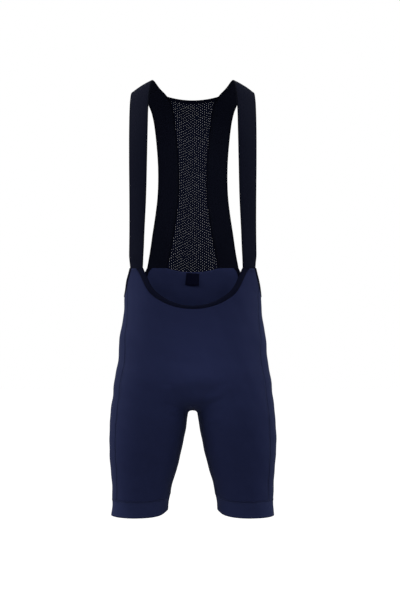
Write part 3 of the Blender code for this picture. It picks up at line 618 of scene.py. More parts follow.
def relief(points):
    """How far the cloth stands off the figure at each point."""
    x, y, height = points[..., 0], points[..., 1], points[..., 2]
    total = np.zeros(x.shape)
    for across, upward, start, amount in SLACK:
        total += amount * np.sin(2.0 * math.pi * (across * x + upward * height) + start + SLACK_TURN * y)
    for side, x0, h0, x1, h1, width, depth in CREASES:
        length = math.hypot(x1 - x0, h1 - h0)
        along_x, along_h = (x1 - x0) / length, (h1 - h0) / length
        along = ((x - x0) * along_x + (height - h0) * along_h) / length
        off = -(x - x0) * along_h + (height - h0) * along_x
        ends = np.clip(1.0 - np.abs(2.0 * along - 1.0) ** 3, 0.0, 1.0) * (along > 0.0) * (along < 1.0)
        trough = np.exp(-(off / width) ** 2) - RIDGE_SHARE * np.exp(-(off / width - RIDGE_SHIFT) ** 2)
        total -= depth * trough * ends * ease(side * y / CREASE_FADE)
    return total


def dressed(points, normals, share=1.0):
    """Points of the figure moved out or in to where the cloth really is."""
    return points + normals * (relief(points) * share)[..., None]


def worn(parts, share=1.0):
    """A patch, dressed."""
    return [dressed(parts[0], parts[1], share), *parts[1:]]


print(len(CREASES), "creases; the deepest is", 1000 * max(row[-1] for row in CREASES), "mm")

# %% [markdown]
# ## From a grid of points to a piece of cloth
#
# A cut piece is a grid of points with its direction outwards. Solidify could give it a wall, but the rim
# matters here: cloth that is sewn or folded has a round edge, and light catches it. So one function makes the
# outside, the inside and a rim with one extra, slightly proud line of points. It also stores the flat
# coordinates that the weave follows, and how near each point is to an edge.

# %% Grids
FINE, COARSE_CELL = 5, 0.017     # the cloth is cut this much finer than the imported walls' cells
CLOTH, BAND, STRAP_WALL, BINDING_WALL = 0.0013, 0.0017, 0.0016, 0.0018
SEAM_TRIM, RIM_ROUND, BINDING_ROUND, STRAP_ROUND = 0.00006, 0.0002, 0.0009, 0.0006
EDGE_REACH = 0.0018          # how far the painted shade along a sewn edge fades into the cloth
ON_MIDDLE = 1e-7             # a point this near to the middle belongs to both halves


def flat_coordinates(grid, middle):
    """Distances in metres along the rows from one column, and up that column."""
    steps = np.linalg.norm(np.diff(grid, axis=1), axis=2)
    across = np.concatenate((np.zeros((len(grid), 1)), np.cumsum(steps, axis=1)), axis=1)
    across -= across[:, [middle]]
    up = np.repeat(lengths_along(grid[:, middle])[:, None], grid.shape[1], axis=1)
    return np.stack((across, up), axis=-1)


# For each side of a grid, where its edge is and where the line beside it.
SIDES = {"bottom": ((0,), (1,)), "top": ((-1,), (-2,)),
         "left": ((slice(None), 0), (slice(None), 1)), "right": ((slice(None), -1), (slice(None), -2))}


def trim(grid, sides, amount=SEAM_TRIM):
    """Pulls a grid's named sides in from its seams."""
    out = grid.copy()
    for side in sides:
        edge, beside = SIDES[side]
        out[edge] += unit(grid[beside] - grid[edge]) * amount
    return out


def edge_near(grid, sides):
    """1 at the named sides, fading into the cloth."""
    near = np.zeros(grid.shape[:2])
    for side in sides:
        edge, _ = SIDES[side]
        line = grid[edge]
        line = line[None, :] if side in ("bottom", "top") else line[:, None]
        near = np.maximum(near, np.exp(-np.linalg.norm(grid - line, axis=-1) / EDGE_REACH))
    return near


def grid_quads(rows, columns):
    """The faces of a grid with this many cells each way."""
    index = np.arange((rows + 1) * (columns + 1)).reshape(rows + 1, columns + 1)
    return np.stack((index[:-1, :-1], index[:-1, 1:], index[1:, 1:], index[1:, :-1]), axis=-1).reshape(-1, 4)


def grid_normals(grid):
    """The directions that a grid of points faces."""
    return unit(np.cross(np.gradient(grid, axis=1), np.gradient(grid, axis=0)))


def patch(grid, normals, sides, middle, amount=SEAM_TRIM):
    """A grid as lists: points, directions, flat coordinates, nearness to an edge, and faces.

    sides are those with a sewn edge, and middle is the column from which the flat coordinates count.
    """
    flat = flat_coordinates(grid, middle)
    near = edge_near(grid, sides)
    quads = grid_quads(grid.shape[0] - 1, grid.shape[1] - 1)
    return [trim(grid, sides, amount).reshape(-1, 3), normals.reshape(-1, 3), flat.reshape(-1, 2),
            near.reshape(-1), quads]


print("cells are about", round(1000 * COARSE_CELL / FINE, 1), "mm")


# %% Mirroring
MIRROR = np.array((-1.0, 1.0, 1.0))


def other_hand(parts):
    """The same patch on the other side of the body."""
    points, normals, flat, near, quads = parts
    return [points * MIRROR, normals * MIRROR, flat * (-1.0, 1.0), near, quads[:, ::-1]]


def both_halves(parts, end_to_end=False):
    """Adds the other half, joined in the middle; end_to_end is for a strip that crosses it lengthwise."""
    points, normals, flat, near, quads = (part.copy() for part in parts)
    middle = np.abs(points[:, 0]) < ON_MIDDLE
    points[middle, 0] = normals[middle, 0] = 0.0
    count = len(points)
    number = np.arange(count)
    number[~middle] = count + np.arange((~middle).sum())
    far = other_hand([points, normals, flat, near, quads])
    if end_to_end:
        far[2] = flat * (1.0, -1.0) + (0.0, 2.0 * flat[:, 1].max())
    joined = [np.concatenate((a, b[~middle])) for a, b in zip((points, normals, flat, near), far[:4])]
    return [*joined, np.vstack((quads, number[quads][:, ::-1]))]


def both_sides(parts, share=1.0):
    """The patch for each side of the body, dressed after mirroring: each side has its own creases."""
    return {"left": worn(other_hand(parts), share), "right": worn(parts, share)}


def across_middle(line):
    """A line from the side to the middle, carried on to the other side."""
    return np.vstack((line, line[-2::-1] * MIRROR))


print("mirrored by", MIRROR)


# %% Walls
def place(points):
    """From heights above the crotch to the model's frame."""
    return points - np.array((0.0, 0.0, SHOULDER_HEIGHT))


def store(mesh, title, kind, values):
    """Keeps a value or a direction for each vertex."""
    layer = mesh.attributes.new(title, kind, "POINT")
    layer.data.foreach_set("value" if kind == "FLOAT" else "vector", values.astype(np.float32).reshape(-1))


def store_flat(mesh, flat, faces):
    """Keeps the flat coordinates for each corner of the faces."""
    layer = mesh.uv_layers.new(name="Flat")
    layer.data.foreach_set("uv", flat[faces.reshape(-1)].astype(np.float32).reshape(-1))


def sew_up(name, parts, thickness, finish, rim_round=RIM_ROUND):
    """A closed wall of cloth with a round rim, its outside through the points."""
    points, normals, flat, near, quads = parts
    normals = unit(normals)
    turn = np.cross(points[quads[:, 1]] - points[quads[:, 0]], points[quads[:, 2]] - points[quads[:, 0]])
    if np.einsum("ij,ij->i", turn, normals[quads[:, 0]]).sum() < 0.0:
        quads = quads[:, ::-1]
    count = len(points)
    half_edges = np.stack((quads, np.roll(quads, -1, axis=1)), axis=-1).reshape(-1, 2)
    keys = half_edges[:, 0] * count + half_edges[:, 1]
    rim = half_edges[~np.isin(keys, half_edges[:, 1] * count + half_edges[:, 0])]
    outward = np.zeros((count, 3))
    push = np.cross(points[rim[:, 1]] - points[rim[:, 0]], normals[rim[:, 0]])
    for end in (0, 1):
        np.add.at(outward, rim[:, end], push)
    on_rim = np.unique(rim)
    middle = points[on_rim] - normals[on_rim] * thickness / 2.0 + unit(outward[on_rim]) * rim_round
    lookup = np.zeros(count, dtype=int)
    lookup[on_rim] = 2 * count + np.arange(len(on_rim))
    a, b = rim[:, 0], rim[:, 1]
    faces = np.vstack((quads, quads[:, ::-1] + count,
                       np.stack((b, a, lookup[a], lookup[b]), axis=-1),
                       np.stack((lookup[b], lookup[a], a + count, b + count), axis=-1)))
    vertices = place(np.vstack((points, points - normals * thickness, middle)))
    mesh = bpy.data.meshes.new(name)
    mesh.from_pydata(vertices.tolist(), [], faces.tolist())
    store_flat(mesh, np.vstack((flat, flat, flat[on_rim])), faces)
    # The rim takes the full painted shade of an edge, and half of the inside wall's painted light and shade.
    store(mesh, "edge_near", "FLOAT", np.concatenate((near, near, np.ones(len(on_rim)))))
    store(mesh, "reverse_side", "FLOAT", np.repeat((0.0, 1.0, 0.5), (count, count, len(on_rim))))
    mesh.shade_smooth()
    mesh.materials.append(finish)
    return put_in_scene(name, mesh)


print("walls are", 1000 * CLOTH, "mm for cloth and", 1000 * STRAP_WALL, "mm for straps")

# %% [markdown]
# ## Cutting the shorts
#
# The shorts have seven pieces: a front and a back that each span both legs, two side panels, one inner-leg
# panel from hem to hem under the crotch, and two hem bands. Their edges are given once, as lines that two
# pieces share. Each row of a panel then runs from its side seam to its inner end. Near the hem the rows keep
# level, and near the top they follow the scooped edge.

# %% Edges of the cut pieces
LEG_ROWS, BODY_ROWS, BAND_ROWS = 13 * FINE, 11 * FINE, 2 * FINE
SCOOP_CELLS, ARMHOLE_CELLS, SIDE_CELLS = 9 * FINE, 3 * FINE, 6 * FINE
BACK_FLAT_CELLS, BACK_CORNER_CELLS, GUSSET_CELLS = 7 * FINE, 6 * FINE, 6 * FINE
GUSSET_FRONT, GUSSET_BACK, GUSSET_TAPER = 0.045, 0.055, 0.020
SIDE_TOP, SIDE_BINDING = 0.2395, 0.0050
CORNER_SIDE_HEIGHT, ARCH_HEIGHT = 0.085, -0.022
GUSSET_UP, GUSSET_TURN = 0.7, 0.3    # the shares of the inner-leg seam up the leg and under the crotch
PIVOT_HEIGHT, PIVOT_SHARE = 0.090, 0.5       # where the middle line turns from the crotch to the belly
ROWS_LATE = 1.5              # the power that keeps the top edge's shape near the top

# How far the side panel's seams lie before and behind its middle: height, distance.
SIDE_SEAM = (
    (-0.2225, 0.0380),
    (-0.1835, 0.0440),
    (-0.0920, 0.0540),
    (0.0100, 0.0605),
    (0.0800, 0.0600),
    (0.1320, 0.0580),
    (0.1700, 0.0530),
    (0.2200, 0.0465),
    (0.2640, 0.0435),
)
# Front edge from the middle to the strap: x, height, then the same for the binding's free edge.
SCOOP = (
    (0.0000, 0.2155, 0.0000, 0.2215),
    (0.0200, 0.2168, 0.0200, 0.2232),
    (0.0400, 0.2212, 0.0398, 0.2285),
    (0.0575, 0.2275, 0.0565, 0.2362),
    (0.0700, 0.2340, 0.0675, 0.2432),
    (0.0800, 0.2405, 0.0762, 0.2502),
    (0.0885, 0.2485, 0.0832, 0.2580),
    (0.0960, 0.2590, 0.0890, 0.2670),
    (0.1030, 0.2725, 0.0942, 0.2785),
    (0.1105, 0.2880, 0.0995, 0.2900),
    (0.1180, 0.2997, 0.1040, 0.3000),
)
# Armhole edge in front from the strap to the side seam, and its binding's free edge.
ARMHOLE_FRONT = (
    (0.1285, 0.2997, 0.1330, 0.3000),
    (0.1310, 0.2900, 0.1354, 0.2915),
    (0.1345, 0.2765, 0.1388, 0.2785),
    (0.1372, 0.2640, 0.1412, 0.2665),
)
# Back edge from the middle to the side seam, and the armhole binding's free edge for its last points.
BACK_EDGE = (
    (0.0000, 0.2945), (0.0200, 0.2955), (0.0400, 0.2987), (0.0550, 0.3025), (0.0750, 0.3032),
    (0.0900, 0.3032), (0.0965, 0.2960), (0.1000, 0.2840), (0.1060, 0.2690), (0.1160, 0.2560),
    (0.1280, 0.2480), (0.1372, 0.2435),
)
ARMHOLE_BACK = (
    (0.0993, 0.3032), (0.1050, 0.2915), (0.1120, 0.2800), (0.1215, 0.2680), (0.1320, 0.2570),
    (0.1400, 0.2495),
)
BACK_CORNER_POINTS = 7       # the points of the back edge from the side seam to the strap
print("the scoop is", round(1000 * (SCOOP[-1][1] - SCOOP[0][1])), "mm deep")


# %% Top edges of the front and the back
def front_top_edge():
    """From the side seam up the armhole, over the strap's tongue and down the scoop."""
    armhole = spread(np.array(ARMHOLE_FRONT)[::-1, :2], ARMHOLE_CELLS)
    scoop = spread(np.array(SCOOP)[::-1, :2], SCOOP_CELLS)
    return figure_points(np.vstack((armhole, scoop)), FRONT)


def back_top_edge():
    """From the side seam round the strap's foot and along the waist to the middle."""
    rows = np.array(BACK_EDGE)[::-1]
    corner = spread(rows[:BACK_CORNER_POINTS], BACK_CORNER_CELLS)
    flat = spread(rows[BACK_CORNER_POINTS - 1:], BACK_FLAT_CELLS)
    return figure_points(np.vstack((corner[:-1], flat)), BACK)


front_edge, back_edge = front_top_edge(), back_top_edge()
print("front edge has", len(front_edge), "points for half, back edge", len(back_edge))


# %% Seams down the legs and up the middle
def arch(y, height, angle):
    """A point of the inner leg or of the crotch arch, seen from the gap between the legs."""
    return hit(triples(0.0, y, height), triples(np.cos(angle), 0.0, np.sin(angle)), ARCH_REACH)


def gusset_seam(side, count):
    """The inner-leg seam from the hem band to the middle of the crotch."""
    start = HEM_HEIGHT + HEM_BAND + HEM_RISE
    half = GUSSET_FRONT if side == FRONT else GUSSET_BACK

    def curve(s):
        height = start + (ARCH_HEIGHT - start) * np.clip(s / GUSSET_UP, 0.0, 1.0)
        angle = np.clip((s - GUSSET_UP) / GUSSET_TURN, 0.0, 1.0) * math.pi / 2
        down = np.clip(height / HEM_HEIGHT, 0.0, 1.0)
        return arch(side * (half - GUSSET_TAPER * down), height, angle)
    seam = even_along(curve, count)
    seam[-1, 0] = 0.0
    return seam


def middle_line(side, start, top, count):
    """The line down the middle of the front or the back, from the crotch up."""
    first = math.atan2(PIVOT_HEIGHT - start[2], abs(start[1]))

    def curve(s):
        turn = first * (1.0 - np.clip(s / PIVOT_SHARE, 0.0, 1.0))
        upper = np.clip((s - PIVOT_SHARE) / (1.0 - PIVOT_SHARE), 0.0, 1.0)
        height = PIVOT_HEIGHT + (top - PIVOT_HEIGHT) * upper
        return hit(triples(0.0, 0.0, height), triples(0.0, side * np.cos(turn), -np.sin(turn)), MIDDLE_REACH)
    return even_along(curve, count)


def side_seam(heights, side):
    """A side panel's front or back seam at these heights."""
    origin = triples(read(SPINE, 1, heights), side * read(SIDE_SEAM, 1, heights), heights)
    return hit(origin, (1.0, 0.0, 0.0), MIDDLE_REACH)


band_top = HEM_HEIGHT + HEM_BAND
lower = np.linspace(band_top, CORNER_SIDE_HEIGHT, LEG_ROWS + 1)
seams, inner_ends = {}, {}
for side, edge in ((FRONT, front_edge), (BACK, back_edge)):
    upper = np.linspace(CORNER_SIDE_HEIGHT, edge[0, 2], BODY_ROWS + 1)[1:]
    seams[side] = side_seam(np.concatenate((lower, upper)), side)
    seams[side][-1] = edge[0]
    below = gusset_seam(side, LEG_ROWS)
    above = middle_line(side, below[-1], edge[-1, 2], BODY_ROWS)[1:]
    inner_ends[side] = np.vstack((below, above))
print("side seam is", round(1000 * lengths_along(seams[FRONT])[-1]), "mm long")


# %% Rows of the panels
def panel_rows(seam, ends, top_edge):
    """A half panel: rows from its side seam to its inner end, the last one along top_edge."""
    t = np.linspace(0.0, 1.0, len(top_edge))
    top_angle = angle_of(top_edge)
    top_share = (top_angle - top_angle[0]) / (top_angle[-1] - top_angle[0])
    straight = top_edge[0, 2] + (top_edge[-1, 2] - top_edge[0, 2]) * t
    rows = []
    for row, (first, last) in enumerate(zip(seam, ends)):
        weight = max(0.0, (row - LEG_ROWS) / BODY_ROWS)
        late = HEM_LATE + (1.0 - HEM_LATE) * min(row / LEG_ROWS, 1.0)
        share = t + (top_share - t) * weight
        first_angle, last_angle = angle_of(first), angle_of(last)
        height = first[2] + (last[2] - first[2]) * t ** late
        height = height + (top_edge[:, 2] - straight) * weight ** ROWS_LATE
        points = on_skin(first_angle + (last_angle - first_angle) * share, height)
        points[0], points[-1] = first, last
        rows.append(points)
    return np.array(rows)


def side_rows(front_seam, back_seam):
    """The side panel: straight rows whose top one sinks to the armhole's lowest point."""
    t = np.linspace(0.0, 1.0, SIDE_CELLS + 1)
    last = len(front_seam) - 1
    rows = []
    for row, (first, end) in enumerate(zip(front_seam, back_seam)):
        weight = max(0.0, (row - LEG_ROWS) / BODY_ROWS) ** ROWS_LATE * row / last
        straight = first[2] + (end[2] - first[2]) * t
        sunk = SIDE_TOP + (straight - SIDE_TOP) * (2.0 * t - 1.0) ** 2
        first_angle, end_angle = angle_of(first), angle_of(end)
        points = on_skin(first_angle + (end_angle - first_angle) * t, straight + (sunk - straight) * weight)
        points[0], points[-1] = first, end
        rows.append(points)
    return np.array(rows)


def gusset_rows(front_seam, back_seam):
    """The inner-leg panel of one leg, up to the middle of the crotch."""
    t = np.linspace(0.0, 1.0, GUSSET_CELLS + 1)
    rows = []
    for row, (first, end) in enumerate(zip(front_seam, back_seam)):
        spots = [(point[1], min(point[2], ARCH_HEIGHT),
                  math.atan2(max(point[2] - ARCH_HEIGHT, 0.0), point[0])) for point in (first, end)]
        y, height, angle = (a + (b - a) * t for a, b in zip(*spots))
        height = height + HEM_CREST * 4.0 * t * (1.0 - t) * max(0.0, 1.0 - row / (LEG_ROWS / 2))
        points = arch(y, height, angle)
        points[0], points[-1] = first, end
        rows.append(points)
    rows[-1][:, 0] = 0.0
    return np.array(rows)


front_rows = panel_rows(seams[FRONT], inner_ends[FRONT], front_edge)
back_rows = panel_rows(seams[BACK], inner_ends[BACK], back_edge)
side_grid = side_rows(seams[FRONT], seams[BACK])
gusset_grid = gusset_rows(inner_ends[FRONT][:LEG_ROWS + 1], inner_ends[BACK][:LEG_ROWS + 1])
print("rows by columns:", [grid.shape[:2] for grid in (front_rows, back_rows, side_grid, gusset_grid)])

# %% [markdown]
# ## The navy panels
#
# Each panel goes to its place as one closed piece and takes over from the imported wall with the same name.
# Stretch cloth is cut smaller than the body.


def hand_over(piece, node):
    """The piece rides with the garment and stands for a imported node."""
    piece.name = f"{node}_cloth"
    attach(piece, "root")
    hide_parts(node)
    return piece


def make_piece(node, parts, wall, finish, rim_round=RIM_ROUND):
    """Sews a patch up and hands it over."""
    hand_over(sew_up(node, parts, wall, finish, rim_round), node)


# %% Front and back
def half_panel(grid):
    """Half of the front or back: free of its neighbours, split from the other leg below the crotch."""
    parts = patch(grid, field_normals(grid), ("bottom", "top", "left"), middle=-1)
    shaped = parts[0].reshape(grid.shape)
    near = parts[3].reshape(grid.shape[:2])
    seam = slice(0, LEG_ROWS + 1)
    step = grid[seam, -2] - grid[seam, -1]
    step[-1] = grid[LEG_ROWS + 1, -1] - grid[LEG_ROWS, -1]
    shaped[seam, -1] += unit(step) * SEAM_TRIM
    reach = np.linalg.norm(grid[seam] - grid[seam, -1:], axis=-1)
    near[seam] = np.maximum(near[seam], np.exp(-reach / EDGE_REACH))
    return parts


for node, rows in (("front_panel", front_rows), ("back_panel", back_rows)):
    make_piece(node, worn(both_halves(half_panel(rows))), CLOTH, NAVY)

# %% Sides and inner leg
side_parts = patch(side_grid, field_normals(side_grid), ("bottom", "top", "left", "right"),
                   middle=SIDE_CELLS // 2)
for hand, parts in both_sides(side_parts).items():
    make_piece(f"side_panel_{hand}", parts, CLOTH, NAVY)

gusset_normals = field_normals(gusset_grid)
gusset_normals[-1, :, 0] = 0.0
parts = patch(gusset_grid, gusset_normals, ("bottom", "left", "right"), middle=GUSSET_CELLS // 2)
parts = worn(both_halves(parts, end_to_end=True))
make_piece("inner_leg_panel", parts, CLOTH, NAVY)

# %% [markdown]
# ## Gripper hems
#
# A flat knitted elastic, 34 mm high, closes each leg. It is one strip whose ends meet at the inner leg, so
# it is built as a strip that goes once round. It is a little thicker than the cloth, grips the thigh, and
# its lower edge is a clean fold. A spun ring would be simpler, but the leg isn't round and the hem rises
# towards the inside, so the strip's rings are found with rays, like the panels.

# %% Hem bands
HEM_GRIP = 0.0007            # how much the middle of the band sinks into the leg
HEM_BUTT = 0.0001            # half of the gap where the strip's ends meet


def hem_ring(drop):
    """One ring round the leg below the panels' first rows, from the inner-leg seam and back to it."""
    ring = np.vstack((gusset_grid[0][::-1][:-1], front_rows[0][::-1][:-1], side_grid[0][:-1], back_rows[0]))
    height = ring[:, 2] - drop
    middle, start = ((read(LEG, 1, h) + read(LEG, 2, h)) / 2.0 for h in (height, ring[:, 2]))
    angle = np.arctan2(ring[:, 1], ring[:, 0] - start)
    return hit(triples(middle, 0.0, height), triples(np.cos(angle), np.sin(angle), 0.0), HEM_REACH)


hem_grid = np.array([hem_ring(HEM_BAND * k / BAND_ROWS) for k in range(BAND_ROWS + 1)])
hem_normals = field_normals(hem_grid)
grip = HEM_GRIP * np.sin(np.linspace(0.0, math.pi, BAND_ROWS + 1))[:, None, None]
hem_outer = trim(hem_grid - hem_normals * grip, ("left", "right"), HEM_BUTT - SEAM_TRIM)
hem_parts = patch(hem_outer, hem_normals, ("bottom", "left", "right"), middle=hem_grid.shape[1] // 2)
for hand, parts in both_sides(hem_parts).items():
    make_piece(f"hem_band_{hand}", parts, BAND, HEM)

# %% [markdown]
# ## Elastic bindings round the openings
#
# The scoop in front and the foot of each armhole are bound with folded black elastic. A binding is a narrow
# strip between two lines: the one that it is sewn to and its free edge. It stands a little proud of the
# cloth and rolls over at the free edge.

# %% Bindings
BINDING_CELLS, BINDING_RISE = 8, 0.0008
ACROSS_BINDING = np.linspace(0.0, 1.0, BINDING_CELLS + 1)
# It stands out most along its middle and rolls down to both edges.
BINDING_SECTION = BINDING_RISE * np.sqrt(1.0 - (2.0 * ACROSS_BINDING[:, None, None] - 1.0) ** 4)


def strip_between(sewn, free, side=None):
    """A binding's grid and directions; with side, it is laid back on the figure."""
    t = ACROSS_BINDING[:, None, None]
    grid = sewn[None] * (1.0 - t) + free[None] * t
    if side:
        grid[1:, :, 1] = figure_depth(grid[1:, :, 0], grid[1:, :, 2], side)
    normals = field_normals(grid)
    return grid + normals * BINDING_SECTION, normals


scoop_free = figure_points(spread(np.array(SCOOP)[::-1, 2:], SCOOP_CELLS), FRONT)
scoop_grid, scoop_normals = strip_between(front_rows[-1, -(SCOOP_CELLS + 1):], scoop_free, FRONT)
scoop_normals[:, -1, 0] = 0.0
parts = worn(both_halves(patch(scoop_grid, scoop_normals, ("bottom", "left"), middle=-1)))
make_piece("scoop_binding", parts, BINDING_WALL, BINDING, BINDING_ROUND)

front_free = figure_points(spread(np.array(ARMHOLE_FRONT)[:, 2:], ARMHOLE_CELLS), FRONT)
back_free = figure_points(spread(np.array(ARMHOLE_BACK)[::-1], BACK_CORNER_CELLS), BACK)
t = np.linspace(0.0, 1.0, SIDE_CELLS + 1)
height = side_grid[-1, :, 2] + SIDE_BINDING
height += (front_free[-1, 2] - height[0]) * (1 - t) ** 3 + (back_free[0, 2] - height[-1]) * t ** 3
angle = np.interp(t, (0.0, 1.0), (angle_of(front_free[-1]), angle_of(back_free[0])))
armhole_sewn = np.vstack((front_rows[-1, :ARMHOLE_CELLS + 1][::-1][:-1], side_grid[-1][:-1],
                          back_rows[-1, :BACK_CORNER_CELLS + 1]))
armhole_free = np.vstack((front_free[:-1], on_skin(angle, height)[:-1], back_free))
armhole_grid, armhole_normals = strip_between(armhole_sewn, armhole_free)
armhole_parts = patch(armhole_grid, armhole_normals, ("bottom", "left", "right"),
                      middle=armhole_grid.shape[1] // 2)
for hand, parts in both_sides(armhole_parts).items():
    make_piece(f"armhole_binding_{hand}", parts, BINDING_WALL, BINDING,
               BINDING_ROUND)

# %% [markdown]
# ## Straps
#
# Each strap is one wide elastic that runs from the front waist over the shoulder to the back waist. Its two
# edges are given as stations along the body, in front and then behind. Between them the elastic bows out a
# little, and a woven edge, the selvedge, runs down each side as a narrow bead with a groove beside it.

# %% Strap stations
# side, inner edge x and height, outer edge x and height.
STRAP = (
    (-1, 0.1040, 0.3003, 0.1330, 0.3003),
    (-1, 0.1018, 0.3300, 0.1322, 0.3300),
    (-1, 0.0995, 0.3800, 0.1313, 0.3800),
    (-1, 0.0964, 0.4415, 0.1312, 0.4415),
    (-1, 0.0943, 0.5240, 0.1318, 0.5240),
    (-1, 0.0930, 0.5910, 0.1320, 0.5880),
    (-1, 0.0922, 0.6350, 0.1319, 0.6280),
    (-1, 0.0896, 0.6750, 0.1313, 0.6560),
    (-1, 0.0847, 0.7030, 0.1285, 0.6758),
    (1, 0.0710, 0.6925, 0.1180, 0.6735),
    (1, 0.0558, 0.6786, 0.1000, 0.6640),
    (1, 0.0470, 0.6640, 0.0915, 0.6475),
    (1, 0.0412, 0.6400, 0.0862, 0.6275),
    (1, 0.0378, 0.6110, 0.0828, 0.6050),
    (1, 0.0342, 0.5800, 0.0797, 0.5760),
    (1, 0.0307, 0.5231, 0.0762, 0.5231),
    (1, 0.0313, 0.4530, 0.0776, 0.4560),
    (1, 0.0359, 0.4158, 0.0815, 0.4210),
    (1, 0.0416, 0.3742, 0.0875, 0.3800),
    (1, 0.0510, 0.3260, 0.0940, 0.3340),
    (1, 0.0550, 0.3029, 0.0993, 0.3036),
)
CROWN_STATION, NECK_STATION = 8, 10
STRAP_ROWS = (14 * FINE, 4 * FINE, 17 * FINE)    # front, shoulder, back
STRAP_BOW = 0.0018
# Across the strap: share of the width, and how far the cloth stands out there. The other half mirrors it.
STRAP_SECTION = ((0.0, -0.00010), (0.018, 0.00015), (0.045, 0.00018), (0.075, -0.00018), (0.11, 0.0),
                 (0.19, 0.0), (0.27, 0.0), (0.35, 0.0), (0.425, 0.0), (0.5, 0.0))
print("a strap has", len(STRAP), "stations and", sum(STRAP_ROWS), "rows of cloth")


# %% The straps' grid
def strap_edges():
    """The strap's inner and outer edge, each in three stretches of even rows."""
    edges = [np.array([(row[k], figure_depth(row[k], row[k + 1], row[0]), row[k + 1]) for row in STRAP])
             for k in (1, 3)]
    both = np.hstack(edges)
    knots = lengths_along(both)
    table = np.column_stack((knots, both))
    stops = (0, CROWN_STATION, NECK_STATION, len(STRAP) - 1)
    where = [np.linspace(knots[a], knots[b], count + 1)[1:]
             for a, b, count in zip(stops, stops[1:], STRAP_ROWS)]
    where = np.concatenate(([0.0], *where))
    curve = np.column_stack([read(table, column, where) for column in range(1, 7)])
    return curve[:, :3], curve[:, 3:]


inner_edge, outer_edge = strap_edges()
section = np.array(STRAP_SECTION)
section = np.vstack((section, section[-2::-1] * (-1.0, 1.0) + (1.0, 0.0)))
t = section[None, :, :1]
strap_grid = inner_edge[:, None] * (1.0 - t) + outer_edge[:, None] * t
bow = STRAP_BOW * 4.0 * t * (1.0 - t) + section[None, :, 1:]
strap_grid = strap_grid + grid_normals(strap_grid) * (bow + STRAP_WALL)
strap_normals = grid_normals(strap_grid)
print("strap is", round(1000 * lengths_along(strap_grid[:, len(section) // 2])[-1]), "mm long as worn")

# %% [markdown]
# The ends of a strap aren't butted against the shorts. In front the elastic goes behind the navy tongue, and
# at the back it lies on the outside of the back panel. So each end gets a few more rows, and the front one
# sinks by the thickness of the cloth that it passes.

# %% The straps' lapped ends
LAP, LAP_ROWS, LAP_SETTLE, LAP_CLEAR = 0.009, 4, 0.030, 0.0001


def more_rows(grid, side):
    """LAP_ROWS more rows after the last one, straight on over the figure's front or back."""
    step = unit(grid[-1] - grid[-2]) * LAP / LAP_ROWS
    more = grid[-1] + step * (np.arange(LAP_ROWS) + 1.0)[:, None, None]
    start = figure_depth(grid[-1, :, 0], grid[-1, :, 2], side)
    more[..., 1] = grid[-1, :, 1] + figure_depth(more[..., 0], more[..., 2], side) - start
    return more


front_lap = more_rows(strap_grid[1::-1], FRONT)[::-1]
back_lap = more_rows(strap_grid[-2:], BACK)
lapped_grid = np.concatenate((front_lap, strap_grid, back_lap))
lapped_normals = np.concatenate((np.repeat(strap_normals[:1], LAP_ROWS, axis=0), strap_normals,
                                 np.repeat(strap_normals[-1:], LAP_ROWS, axis=0)))
reach = lengths_along(lapped_grid[:, len(section) // 2])
at_front, at_back = (ease((LAP + LAP_SETTLE - distance) / LAP_SETTLE)[:, None] * np.ones(len(section))
                     for distance in (reach, reach[-1] - reach))
sunk = LAP_CLEAR * at_back - (STRAP_WALL + CLOTH + LAP_CLEAR) * at_front
lapped_grid = lapped_grid + lapped_normals * sunk[..., None]
settled = (at_front + at_back).reshape(-1)
strap_parts = patch(lapped_grid, lapped_normals, ("left", "right"), middle=len(section) // 2, amount=0.0)
worn_straps = both_sides(strap_parts, settled)
for hand, parts in worn_straps.items():
    make_piece(f"strap_{hand}", parts, STRAP_WALL, ELASTIC, STRAP_ROUND)

# %% [markdown]
# ## The neckline
#
# Between the straps the mesh ends in a soft black binding, 8 mm wide, which dips a little in the middle.

# %% Neck binding
NECK_BINDING, MESH_DIP, MESH_CELLS = 0.008, 0.008, 8 * FINE
NECK_TUCK = 1.05             # the binding's ends go on a little under the straps
NECK_ROW = STRAP_ROWS[0] + STRAP_ROWS[1]


def back_sheet(edge, columns):
    """Rows from one strap's inner edge to the other's, dipping in the middle."""
    rows = []
    for x, y, height in edge:
        level = height - MESH_DIP * (1.0 - np.clip(columns * columns, 0.0, 1.0))
        bulge = figure_depth(np.abs(x * columns), level, BACK) - figure_depth(x, level, BACK)
        rows.append(triples(x * columns, y + bulge, level))
    return np.array(rows)


def outward_normals(grid):
    """The directions of a grid on the back, turned backwards."""
    normals = grid_normals(grid)
    return normals * np.sign(normals[..., 1:2].mean())


neckline = inner_edge[NECK_ROW:NECK_ROW + 2]
run = unit(neckline[1] - neckline[0])
neck_grid = back_sheet([neckline[0] + run * NECK_BINDING * share for share in ACROSS_BINDING],
                       np.linspace(-NECK_TUCK, NECK_TUCK, MESH_CELLS + 1))
neck_normals = outward_normals(neck_grid)
parts = patch(neck_grid + neck_normals * BINDING_SECTION, neck_normals, ("left", "right"),
              middle=MESH_CELLS // 2)
make_piece("neck_binding", parts, BINDING_WALL, BINDING, BINDING_ROUND)

# %% [markdown]
# ## The mesh back
#
# The back is an open warp-knit: dense black cloth with small round eyelets, each column half a step lower
# than the next. Cutting 1,400 holes with booleans would be slow and ragged. A rule gives them cleanly. A flat
# grid is triangulated and turned into its dual, which is a honeycomb with one cell for each eyelet. Each cell
# is pushed in to a small ring, one level of subdivision rounds it, and its mirrored copy underneath closes
# the yarn round the hole. Last, the flat honeycomb is laid on the back by its flat coordinates.
#
# The sheet that it is laid on goes on inside the straps, the neck binding and the back panel, as the real
# mesh goes on into its seams, so the honeycomb's ragged outer cells are never seen.

